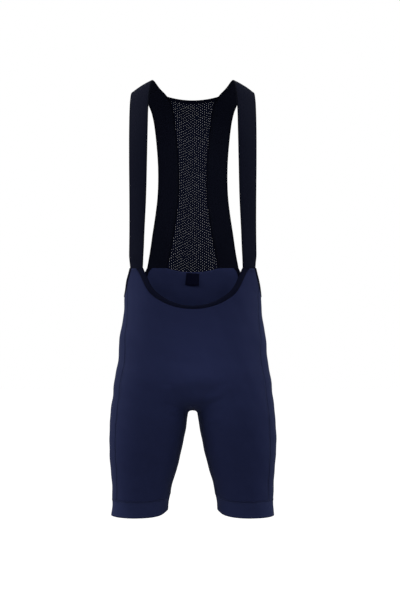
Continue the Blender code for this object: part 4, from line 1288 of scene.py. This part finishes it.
# %% Helpers for geometry trees
def geometry_tree(name, inputs):
    """An empty geometry tree with named inputs after the geometry."""
    return new_group(name, {"Geometry": ("NodeSocketGeometry", None), **inputs},
                     {"Geometry": "NodeSocketGeometry"}, "GeometryNodeTree")


def vectors(tree, operation, first, second=None, scale=None):
    """A Vector Math node on sockets."""
    operands = {0: first, 1: second, "Scale": scale}
    node = add_node(tree, "ShaderNodeVectorMath", operation)
    link_inputs(tree, node, {key: source for key, source in operands.items() if source is not None})
    return node.outputs["Vector"]


def upward(tree, **parts):
    """A vector out of its parts."""
    return add_node(tree, "ShaderNodeCombineXYZ", **parts).outputs["Vector"]


def stored(tree, title):
    """The direction or flat place that a mesh stores under a name."""
    return add_node(tree, "GeometryNodeInputNamedAttribute", values={"Name": title},
                    settings={"data_type": "FLOAT_VECTOR"}).outputs["Attribute"]


def moved(tree, geometry, **inputs):
    """The geometry at a new position, or offset."""
    return add_node(tree, "GeometryNodeSetPosition", Geometry=geometry, **inputs).outputs["Geometry"]


def held_on(tree, domain, flag):
    """A yes or no that is settled on points, edges or faces before anything reads it."""
    return add_node(tree, "GeometryNodeFieldOnDomain", settings={"data_type": "BOOLEAN", "domain": domain},
                    Value=flag).outputs["Value"]


def turned_round(tree, flag):
    """Yes for no."""
    return add_node(tree, "FunctionNodeBooleanMath", "NOT", Boolean=flag).outputs["Boolean"]


def finish_tree(tree, result, geometry, cloth):
    """Smooth shading, real geometry and its material, at the end of every tree."""
    smooth = add_node(tree, "GeometryNodeSetShadeSmooth", Geometry=geometry).outputs["Geometry"]
    real = add_node(tree, "GeometryNodeRealizeInstances", Geometry=smooth).outputs["Geometry"]
    coloured = add_node(tree, "GeometryNodeSetMaterial", Geometry=real, Material=cloth).outputs["Geometry"]
    link_inputs(tree, result, {"Geometry": coloured})
    print(tree.name, "has", len(tree.nodes), "nodes")


def grow(name, mesh, tree, values):
    """Runs the tree on the mesh with the values given, and returns the result as a plain mesh."""
    carrier = put_in_scene(name, mesh)
    modifier = carrier.modifiers.new(name, "NODES")
    modifier.node_group = tree
    sockets = {item.name: item.identifier for item in tree.interface.items_tree if item.in_out == "INPUT"}
    for title, value in values.items():
        modifier[sockets[title]] = value
    ready = carrier.evaluated_get(bpy.context.evaluated_depsgraph_get())
    grown = bpy.data.meshes.new_from_object(ready)
    carrier.modifiers.clear()
    bpy.data.objects.remove(carrier)
    grown.name = name
    return grown


print("geometry helpers ready")

# %% The sheet that carries the mesh
TUCK_COLUMNS = 5             # columns of the strap's section that the mesh goes under
TUCK_NECK = 0.0012           # how far below the neck's free edge the mesh starts, under its binding
MESH_MIDDLE, STRAP_MIDDLE, PANEL_MIDDLE = 0.0005, 0.0008, 0.00065     # half of each thickness
EDGE_SHARE = 0.2             # over this share of the half width the mesh rises into the strap
GUIDE_COLUMNS = 2 * MESH_CELLS


def mesh_guide():
    """Rows of points from inside one strap to inside the other, from the neck to inside the back's top."""
    columns = np.linspace(-1.0, 1.0, GUIDE_COLUMNS + 1)
    edge = np.vstack((neckline[0] + run * TUCK_NECK, inner_edge[NECK_ROW + 1:]))
    rows = back_sheet(edge, columns)
    lower = np.repeat(rows[-1:], LAP_ROWS, axis=0)
    lower[..., 2] -= LAP * (np.arange(LAP_ROWS) + 1.0)[:, None] / LAP_ROWS
    lower[..., 1] = figure_depth(np.abs(lower[..., 0]), lower[..., 2], BACK)
    rows = np.concatenate((rows, lower))
    normals = outward_normals(rows)
    settle = ease((lower[..., 2].max() + LAP_SETTLE - rows[..., 2]) / LAP_SETTLE)
    at_strap = ease((np.abs(columns) - 1.0 + EDGE_SHARE) / EDGE_SHARE)
    raised = -MESH_MIDDLE + (MESH_MIDDLE + STRAP_MIDDLE) * at_strap
    rows = rows + normals * (raised * (1.0 - settle) - PANEL_MIDDLE * settle)[..., None]
    under = slice(1, TUCK_COLUMNS + 1)
    inside = lapped_grid[LAP_ROWS + NECK_ROW:, under].copy()
    directions = lapped_normals[LAP_ROWS + NECK_ROW:, under]
    inside[0] += run * TUCK_NECK
    inside -= directions * STRAP_MIDDLE
    share = settled.reshape(lapped_grid.shape[:2])[LAP_ROWS + NECK_ROW:, under]
    rows = np.concatenate((inside[:, ::-1] * MIRROR, rows, inside), axis=1)
    normals = np.concatenate((directions[:, ::-1] * MIRROR, normals, directions), axis=1)
    return dressed(rows, normals, np.concatenate((share[:, ::-1], settle, share), axis=1)), normals


guide_rows, guide_normals = mesh_guide()
guide_flat = flat_coordinates(guide_rows, guide_rows.shape[1] // 2)
FLAT_SHIFT = 0.1             # keeps the flat coordinates above zero
guide = bpy.data.meshes.new("mesh_guide")
guide_faces = grid_quads(guide_rows.shape[0] - 1, guide_rows.shape[1] - 1)
guide.from_pydata(place(guide_rows).reshape(-1, 3).tolist(), [], guide_faces.tolist())
store_flat(guide, guide_flat.reshape(-1, 2) + (FLAT_SHIFT, 0.0), guide_faces)
store(guide, "outward", "FLOAT_VECTOR", guide_normals)
print("mesh sheet:", guide_rows.shape[:2], "flat", np.ptp(guide_flat, axis=(0, 1)))

# %% The honeycomb of eyelets
EYELET_COLUMN, EYELET_PITCH, EYELET_SHARE, EYELET_DEPTH = 0.0043, 0.0057, 0.119, 0.0008
MERGE = 0.00001              # how near to each other the two sides' points at a hole are

honeycomb, given, result = geometry_tree("mesh_eyelets", {
    "Half Columns": ("NodeSocketInt", 18), "Rows": ("NodeSocketInt", 70),
    "Column Spacing": (FLOAT, EYELET_COLUMN), "Row Pitch": (FLOAT, EYELET_PITCH),
    "Middle": (FLOAT, FLAT_SHIFT), "Hole Share": (FLOAT, EYELET_SHARE),
    "Thickness": (FLOAT, EYELET_DEPTH), "Cloth": (CLOTH_SOCKET, None)})


def times(first, second):
    return maths(honeycomb, "MULTIPLY", first, second)


columns = times(given["Half Columns"], 2.0)
length = times(given["Rows"], given["Row Pitch"])
flat_grid = add_node(
    honeycomb, "GeometryNodeMeshGrid", Size_X=times(columns, given["Column Spacing"]), Size_Y=length,
    Vertices_X=maths(honeycomb, "ADD", columns, 1.0), Vertices_Y=maths(honeycomb, "ADD", given["Rows"], 1.0))
here = add_node(honeycomb, "GeometryNodeInputPosition").outputs["Position"]
spot = add_node(honeycomb, "ShaderNodeSeparateXYZ", Vector=here).outputs
column = maths(honeycomb, "DIVIDE", spot["X"], given["Column Spacing"])
odd = maths(honeycomb, "MODULO", maths(honeycomb, "ABSOLUTE", maths(honeycomb, "ROUND", column)), 2.0)
step_down = times(odd, times(given["Row Pitch"], 0.5))
shift = upward(honeycomb, X=given["Middle"], Y=maths(honeycomb, "ADD", step_down, times(length, 0.5)))
triangles = add_node(honeycomb, "GeometryNodeTriangulate", settings={"quad_method": "SHORTEST_DIAGONAL"},
                     Mesh=moved(honeycomb, flat_grid.outputs["Mesh"], Offset=shift))
cells = add_node(honeycomb, "GeometryNodeDualMesh", Mesh=triangles.outputs["Mesh"]).outputs["Dual Mesh"]

guide_uv = stored(honeycomb, "Flat")
on_guide, guide_out = (
    add_node(honeycomb, "GeometryNodeSampleUVSurface", settings={"data_type": "FLOAT_VECTOR"},
             Mesh=given["Geometry"], Value=source, UV_Map=guide_uv, Sample_UV=here).outputs
    for source in (here, stored(honeycomb, "outward")))
off_sheet = turned_round(honeycomb, held_on(honeycomb, "POINT", on_guide["Is Valid"]))
trimmed = add_node(honeycomb, "GeometryNodeDeleteGeometry", settings={"domain": "FACE"}, Geometry=cells,
                   Selection=off_sheet)
print("honeycomb cells laid out")

# %% The eyelets' rings and their two sides
rings = add_node(honeycomb, "GeometryNodeExtrudeMesh", values={"Offset Scale": 0.0, "Individual": True},
                 Mesh=trimmed.outputs["Geometry"]).outputs
shrunk = add_node(honeycomb, "GeometryNodeScaleElements", Geometry=rings["Mesh"], Selection=rings["Top"],
                  Scale=given["Hole Share"])
opened = add_node(honeycomb, "GeometryNodeDeleteGeometry", settings={"domain": "FACE", "mode": "ONLY_FACE"},
                  Geometry=shrunk.outputs["Geometry"], Selection=rings["Top"])
rounded = add_node(honeycomb, "GeometryNodeSubdivisionSurface", values={"Level": 1},
                   Mesh=opened.outputs["Geometry"]).outputs["Mesh"]
# A Compare node of whole numbers has them at inputs 2 and 3. An edge with one face is at a hole's rim.
at_hole = add_node(honeycomb, "FunctionNodeCompare", "LESS_EQUAL", settings={"data_type": "INT"},
                   values={3: 1})
neighbours = add_node(honeycomb, "GeometryNodeInputMeshEdgeNeighbors").outputs["Face Count"]
link_inputs(honeycomb, at_hole, {2: neighbours})
inside = turned_round(honeycomb, held_on(honeycomb, "EDGE", at_hole.outputs["Result"]))
upper, lower = (moved(honeycomb, rounded, Selection=inside,
                      Offset=upward(honeycomb, Z=times(given["Thickness"], way))) for way in (0.5, -0.5))
both = add_node(honeycomb, "GeometryNodeJoinGeometry", Geometry=upper)
link_inputs(honeycomb, both, {
    "Geometry": add_node(honeycomb, "GeometryNodeFlipFaces", Mesh=lower).outputs["Mesh"]})
closed = add_node(honeycomb, "GeometryNodeMergeByDistance", values={"Distance": MERGE},
                  Geometry=both.outputs["Geometry"])
marked = add_node(honeycomb, "GeometryNodeStoreNamedAttribute", values={"Name": "Flat"},
                  settings={"data_type": "FLOAT2", "domain": "CORNER"}, Geometry=closed.outputs["Geometry"],
                  Value=here)
raised = vectors(honeycomb, "SCALE", guide_out["Value"], scale=spot["Z"])
laid = moved(honeycomb, marked.outputs["Geometry"],
             Position=vectors(honeycomb, "ADD", on_guide["Value"], raised))
finish_tree(honeycomb, result, laid, given["Cloth"])

# %% The finished mesh back
half_columns = int(np.ptp(guide_flat[..., 0]) / 2.0 / EYELET_COLUMN) + 2
eyelet_rows = int(np.ptp(guide_flat[..., 1]) / EYELET_PITCH) + 2
back_mesh = grow("back_mesh_cloth", guide, honeycomb, {
    "Half Columns": half_columns, "Rows": eyelet_rows, "Column Spacing": EYELET_COLUMN,
    "Row Pitch": EYELET_PITCH, "Middle": FLAT_SHIFT, "Hole Share": EYELET_SHARE,
    "Thickness": EYELET_DEPTH, "Cloth": MESH})
piece = hand_over(put_in_scene("back_mesh_cloth", back_mesh), "back_mesh")

# %% [markdown]
# ## The label
#
# A small bare tape is sewn inside the back, just under its top edge. It hangs a little askew, is a touch
# narrower where its two upper corners are caught, and its lower edge lifts off the cloth.

# %% Label
LABEL_WIDTH, LABEL_HEIGHT, LABEL_WALL = 0.030, 0.026, 0.0006
LABEL_DROP, LABEL_CELLS, LABEL_TILT, LABEL_NARROW = 0.0020, 16, math.radians(3.5), 0.08
LABEL_OFF, LABEL_LIFT = 0.0005, 0.0022       # how far off the cloth it hangs, and lifts at its lower edge
LABEL_WAVE, WAVE_TURNS, WAVE_START = 0.0005, 2.6, 0.7     # its lower edge's wave, in metres and radians

across, down = np.meshgrid(np.linspace(-1.0, 1.0, LABEL_CELLS + 1), np.linspace(0.0, 1.0, LABEL_CELLS + 1))
x = across * LABEL_WIDTH / 2.0 * (1.0 - LABEL_NARROW * (1.0 - down))
height = back_edge[-1, 2] - LABEL_DROP - down * LABEL_HEIGHT
pivot = back_edge[-1, 2] - LABEL_DROP
x, height = (x * math.cos(LABEL_TILT) + (height - pivot) * math.sin(LABEL_TILT),
             pivot + (height - pivot) * math.cos(LABEL_TILT) - x * math.sin(LABEL_TILT))
label_grid = triples(x, figure_depth(np.abs(x), height, BACK), height)
label_normals = field_normals(label_grid)
off = CLOTH + LABEL_OFF + LABEL_LIFT * down ** 2
off += LABEL_WAVE * down * np.sin(WAVE_TURNS * across + WAVE_START)
label_grid = dressed(label_grid, label_normals) - label_normals * off[..., None]
parts = patch(label_grid, label_normals, ("left", "right", "bottom", "top"), middle=LABEL_CELLS // 2,
              amount=0.0)
make_piece("label", parts, LABEL_WALL, SATIN)

# %% [markdown]
# ## Seams and stitches
#
# The panels are joined by flat seams: a row of needle stitches on each side of the join, and a cover thread
# that zigzags over it between them. The same seam joins the hems, in a paler thread. Bindings, laps and the
# neckline have one plain row. Stitches could be a bump in the material, but thread stands off the cloth, so
# here it is real thread. Each seam is a line of points that stores the cloth's direction. One tree walks
# along it in even steps and sets a short arch of thread at each, and another swings one long thread to and
# fro across it.

# %% Thread
THREAD, STITCH_PITCH, STITCH_LENGTH = 0.00017, 0.0028, 0.0023     # the thread's radius, and along the seam
COVER_PITCH, SEAM_HALF, SEAM_END = 0.0014, 0.0021, 0.0020
# In radii of the thread: how high it lies on the cloth, and where a stitch's ends and crown are from there.
THREAD_LIFT, STITCH_ENDS, STITCH_CROWN = 0.6, -2.4, 3.0
THREAD_SIDES, STITCH_STEPS = 4, 4
THREAD_DYE, PLY_SCALE, PLY_RELIEF = 160.0, 2600.0, 0.00008
THREAD_ROUGHNESS, THREAD_SPECULAR = 0.60, 0.10


def make_thread_finish(name, dark, light):
    """Fine twisted thread, whose plies show as a small broken relief."""
    finish, tree, shader = new_finish(name)
    place = add_node(tree, "ShaderNodeTexCoord").outputs["Object"]
    tone = effect(tree, dye, {"Scale": THREAD_DYE}, Place=place)["Share"]
    plies = add_node(tree, "ShaderNodeTexNoise", values={"Scale": PLY_SCALE, "Detail": 1.0},
                     Vector=place).outputs["Fac"]
    relief = add_node(tree, "ShaderNodeBump", values={"Strength": 0.5, "Distance": PLY_RELIEF}, Height=plies)
    share = maths(tree, "MULTIPLY", maths(tree, "ADD", tone, plies), 0.5)
    link_inputs(tree, shader, {"Base Color": two_tones(tree, dark, light, share),
                               "Normal": relief.outputs["Normal"]})
    set_inputs(shader, {"Roughness": THREAD_ROUGHNESS, "Specular IOR Level": THREAD_SPECULAR})
    return finish


NAVY_THREAD = make_thread_finish("navy_thread", (0.0084, 0.0112, 0.0370), (0.0225, 0.0296, 0.0860))
HEM_THREAD = make_thread_finish("pale_navy_thread", (0.0150, 0.0195, 0.0560), (0.0430, 0.0550, 0.1350))
BLACK_THREAD = make_thread_finish("black_thread", (0.0010, 0.0013, 0.0035), (0.0060, 0.0072, 0.0140))
print("thread", round(2000 * THREAD, 2), "mm thick")


# %% Walking along a seam
def walk(tree, given):
    """The seam cut into even steps, and the directions along it, out of the cloth and across the seam."""
    line = add_node(tree, "GeometryNodeMeshToCurve", Mesh=given["Geometry"])
    even = add_node(tree, "GeometryNodeResampleCurve", settings={"mode": "LENGTH"},
                    Curve=line.outputs["Curve"], Length=given["Pitch"])
    outward = stored(tree, "outward")
    along = add_node(tree, "GeometryNodeInputTangent").outputs["Tangent"]
    side = vectors(tree, "NORMALIZE", vectors(tree, "CROSS_PRODUCT", outward, along))
    return even.outputs["Curve"], along, outward, side


def move_off(tree, curve, given, side, aside, outward):
    """The curve on top of the cloth, and moved aside from the seam."""
    lift = maths(tree, "MULTIPLY", given["Radius"], THREAD_LIFT)
    return moved(tree, curve, Offset=vectors(tree, "ADD", vectors(tree, "SCALE", side, scale=aside),
                                             vectors(tree, "SCALE", outward, scale=lift)))


def thread_round(tree, given, path):
    """A thread along a path."""
    ring = add_node(tree, "GeometryNodeCurvePrimitiveCircle", values={"Resolution": THREAD_SIDES},
                    Radius=given["Radius"])
    return add_node(tree, "GeometryNodeCurveToMesh", values={"Fill Caps": True}, Curve=path,
                    Profile_Curve=ring.outputs["Curve"]).outputs["Mesh"]


print("seam helpers ready")

# %% The needle stitches' tree
needle, given, result = geometry_tree("needle_stitches", {
    "Pitch": (FLOAT, STITCH_PITCH), "Length": (FLOAT, STITCH_LENGTH), "Radius": (FLOAT, THREAD),
    "Aside": (FLOAT, 0.0), "Thread": (CLOTH_SOCKET, None)})
curve, along, outward, side = walk(needle, given)
spots = move_off(needle, curve, given, side, given["Aside"], outward)
half = maths(needle, "MULTIPLY", given["Length"], 0.5)
depth, crown = (maths(needle, "MULTIPLY", given["Radius"], radii) for radii in (STITCH_ENDS, STITCH_CROWN))
arch_path = add_node(needle, "GeometryNodeCurveQuadraticBezier", values={"Resolution": STITCH_STEPS},
                     Start=upward(needle, X=maths(needle, "MULTIPLY", half, -1.0), Z=depth),
                     Middle=upward(needle, Z=crown), End=upward(needle, X=half, Z=depth))
turn = add_node(needle, "FunctionNodeAxesToRotation", settings={"primary_axis": "X", "secondary_axis": "Z"},
                Primary_Axis=along, Secondary_Axis=outward)
stitched = add_node(needle, "GeometryNodeInstanceOnPoints", Points=spots, Rotation=turn.outputs["Rotation"],
                    Instance=thread_round(needle, given, arch_path.outputs["Curve"]))
finish_tree(needle, result, stitched.outputs["Instances"], given["Thread"])

# %% The cover thread's tree
cover, given, result = geometry_tree("cover_thread", {
    "Pitch": (FLOAT, COVER_PITCH), "Half Width": (FLOAT, SEAM_HALF), "Radius": (FLOAT, THREAD),
    "Thread": (CLOTH_SOCKET, None)})
curve, along, outward, side = walk(cover, given)
odd = maths(cover, "MODULO", add_node(cover, "GeometryNodeInputIndex").outputs["Index"], 2.0)
swing = maths(cover, "SUBTRACT", maths(cover, "MULTIPLY", odd, 2.0), 1.0)
swung = move_off(cover, curve, given, side, maths(cover, "MULTIPLY", swing, given["Half Width"]), outward)
finish_tree(cover, result, thread_round(cover, given, swung), given["Thread"])


# %% Lines to sew along
def seam_line(points, directions, leave=SEAM_END):
    """A line's points and directions, leave metres shorter at each end."""
    lengths = lengths_along(points)
    where = np.linspace(leave, lengths[-1] - leave, len(points))
    return [np.column_stack([np.interp(where, lengths, table[:, axis]) for axis in range(3)])
            for table in (points, directions)]


def both_hands(line):
    """A line on each side of the body."""
    return [line, [part * MIRROR for part in line]]


def on_cloth(lines):
    """Lines that lie on the worn cloth's outside."""
    return [[dressed(points, directions), directions] for points, directions in lines]


def inner_side(lines, wall):
    """The same lines on the other side of a wall."""
    return [[points - directions * wall, -directions] for points, directions in lines]


def line_mesh(name, lines):
    """The lines as edges that store the cloth's direction."""
    mesh = bpy.data.meshes.new(name)
    starts = np.cumsum([0] + [len(points) for points, _ in lines])
    edges = [(k, k + 1) for start, end in zip(starts, starts[1:]) for k in range(start, end - 1)]
    mesh.from_pydata(place(np.vstack([points for points, _ in lines])).tolist(), edges, [])
    store(mesh, "outward", "FLOAT_VECTOR", np.vstack([directions for _, directions in lines]))
    return mesh


def sew(name, lines, tree, thread, slot, **values):
    """Thread along the lines, as one piece."""
    mesh = grow(name, line_mesh(name, lines), tree, {"Thread": thread, **values})
    piece = put_in_scene(name, mesh)
    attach(piece, "root")
    sewn = sum(lengths_along(points)[-1] for points, _ in lines)
    print(f"{name}: {sewn:.2f} m,", len(mesh.polygons), "faces")


print("the two rows of a flat seam are", round(2000 * SEAM_HALF, 1), "mm apart")


# %% Flat seams of the navy panels
flat_lines = []
for side in (FRONT, BACK):
    flat_lines += both_hands(seam_line(seams[side], field_normals(seams[side])))
    half_line = inner_ends[side][:LEG_ROWS + 1]
    flat_lines.append(seam_line(across_middle(half_line), across_middle(field_normals(half_line))))
flat_lines += both_hands(seam_line((hem_grid - hem_normals * grip)[:, 0], hem_normals[:, 0]))
flat_lines = on_cloth(flat_lines)
hem_lines = on_cloth(both_hands(seam_line(hem_grid[0], hem_normals[0], leave=STITCH_LENGTH / 2.0)))
for number, aside in enumerate((-SEAM_HALF, SEAM_HALF)):
    sew(f"seam_stitches_{number + 1}", flat_lines, needle, NAVY_THREAD, "navy_fabric", Aside=aside)
    sew(f"hem_stitches_{number + 1}", hem_lines, needle, HEM_THREAD, "hem_elastic", Aside=aside)
sew("seam_cover_thread", flat_lines, cover, NAVY_THREAD, "navy_fabric")
sew("hem_cover_thread", hem_lines, cover, HEM_THREAD, "hem_elastic")

# %% Plain rows on the bindings, straps, back waist and label
SEWN_ROW, WAIST_ROW, NECK_SEAM_END = 2, 0.0030, 0.004
STRAP_SEAM_COLUMN = 4        # the groove beside the strap's inner selvedge
LAP_STITCH_ROWS, LAP_STITCH_ENDS = (-2, -4), slice(3, -3)
TONGUE_STITCHES = ((0.2960, 0.1172, 0.1288), (0.2922, 0.1152, 0.1298))       # height, from x to x
TONGUE_POINTS = 5

back_top = back_rows[-1, BACK_CORNER_CELLS:]
waist = across_middle(back_top + unit(back_rows[-2, BACK_CORNER_CELLS:] - back_top) * WAIST_ROW)
waist_line = seam_line(waist, field_normals(waist))
bound = [seam_line(*(across_middle(table[SEWN_ROW]) for table in (scoop_grid, scoop_normals)))]
bound += both_hands(seam_line(armhole_grid[SEWN_ROW], armhole_normals[SEWN_ROW]))
bound = on_cloth(bound + [waist_line])
bound += inner_side(on_cloth([waist_line]), CLOTH)

for height, start, end in TONGUE_STITCHES:
    tongue = figure_points([(x, height) for x in np.linspace(start, end, TONGUE_POINTS)], FRONT)
    bound += on_cloth(both_hands(seam_line(tongue, field_normals(tongue), leave=STITCH_LENGTH / 2.0)))

strap_lines = []
for parts in worn_straps.values():
    points, normals = (table.reshape(lapped_grid.shape) for table in parts[:2])
    down_back = (slice(LAP_ROWS + NECK_ROW, None), STRAP_SEAM_COLUMN)
    strap_lines.append(seam_line(points[down_back], normals[down_back]))
    bound += [seam_line(points[row, LAP_STITCH_ENDS], normals[row, LAP_STITCH_ENDS])
              for row in LAP_STITCH_ROWS]
neck_tables = neck_grid + neck_normals * BINDING_RISE, neck_normals
neck_line = seam_line(*(table[BINDING_CELLS - SEWN_ROW] for table in neck_tables), leave=NECK_SEAM_END)
for lines, wall in ((strap_lines, STRAP_WALL), ([neck_line], BINDING_WALL)):
    bound += lines + inner_side(lines, wall)
bound += inner_side([seam_line(label_grid[1], label_normals[1])], LABEL_WALL)
sew("binding_stitches", bound, needle, BLACK_THREAD, "strap_elastic")
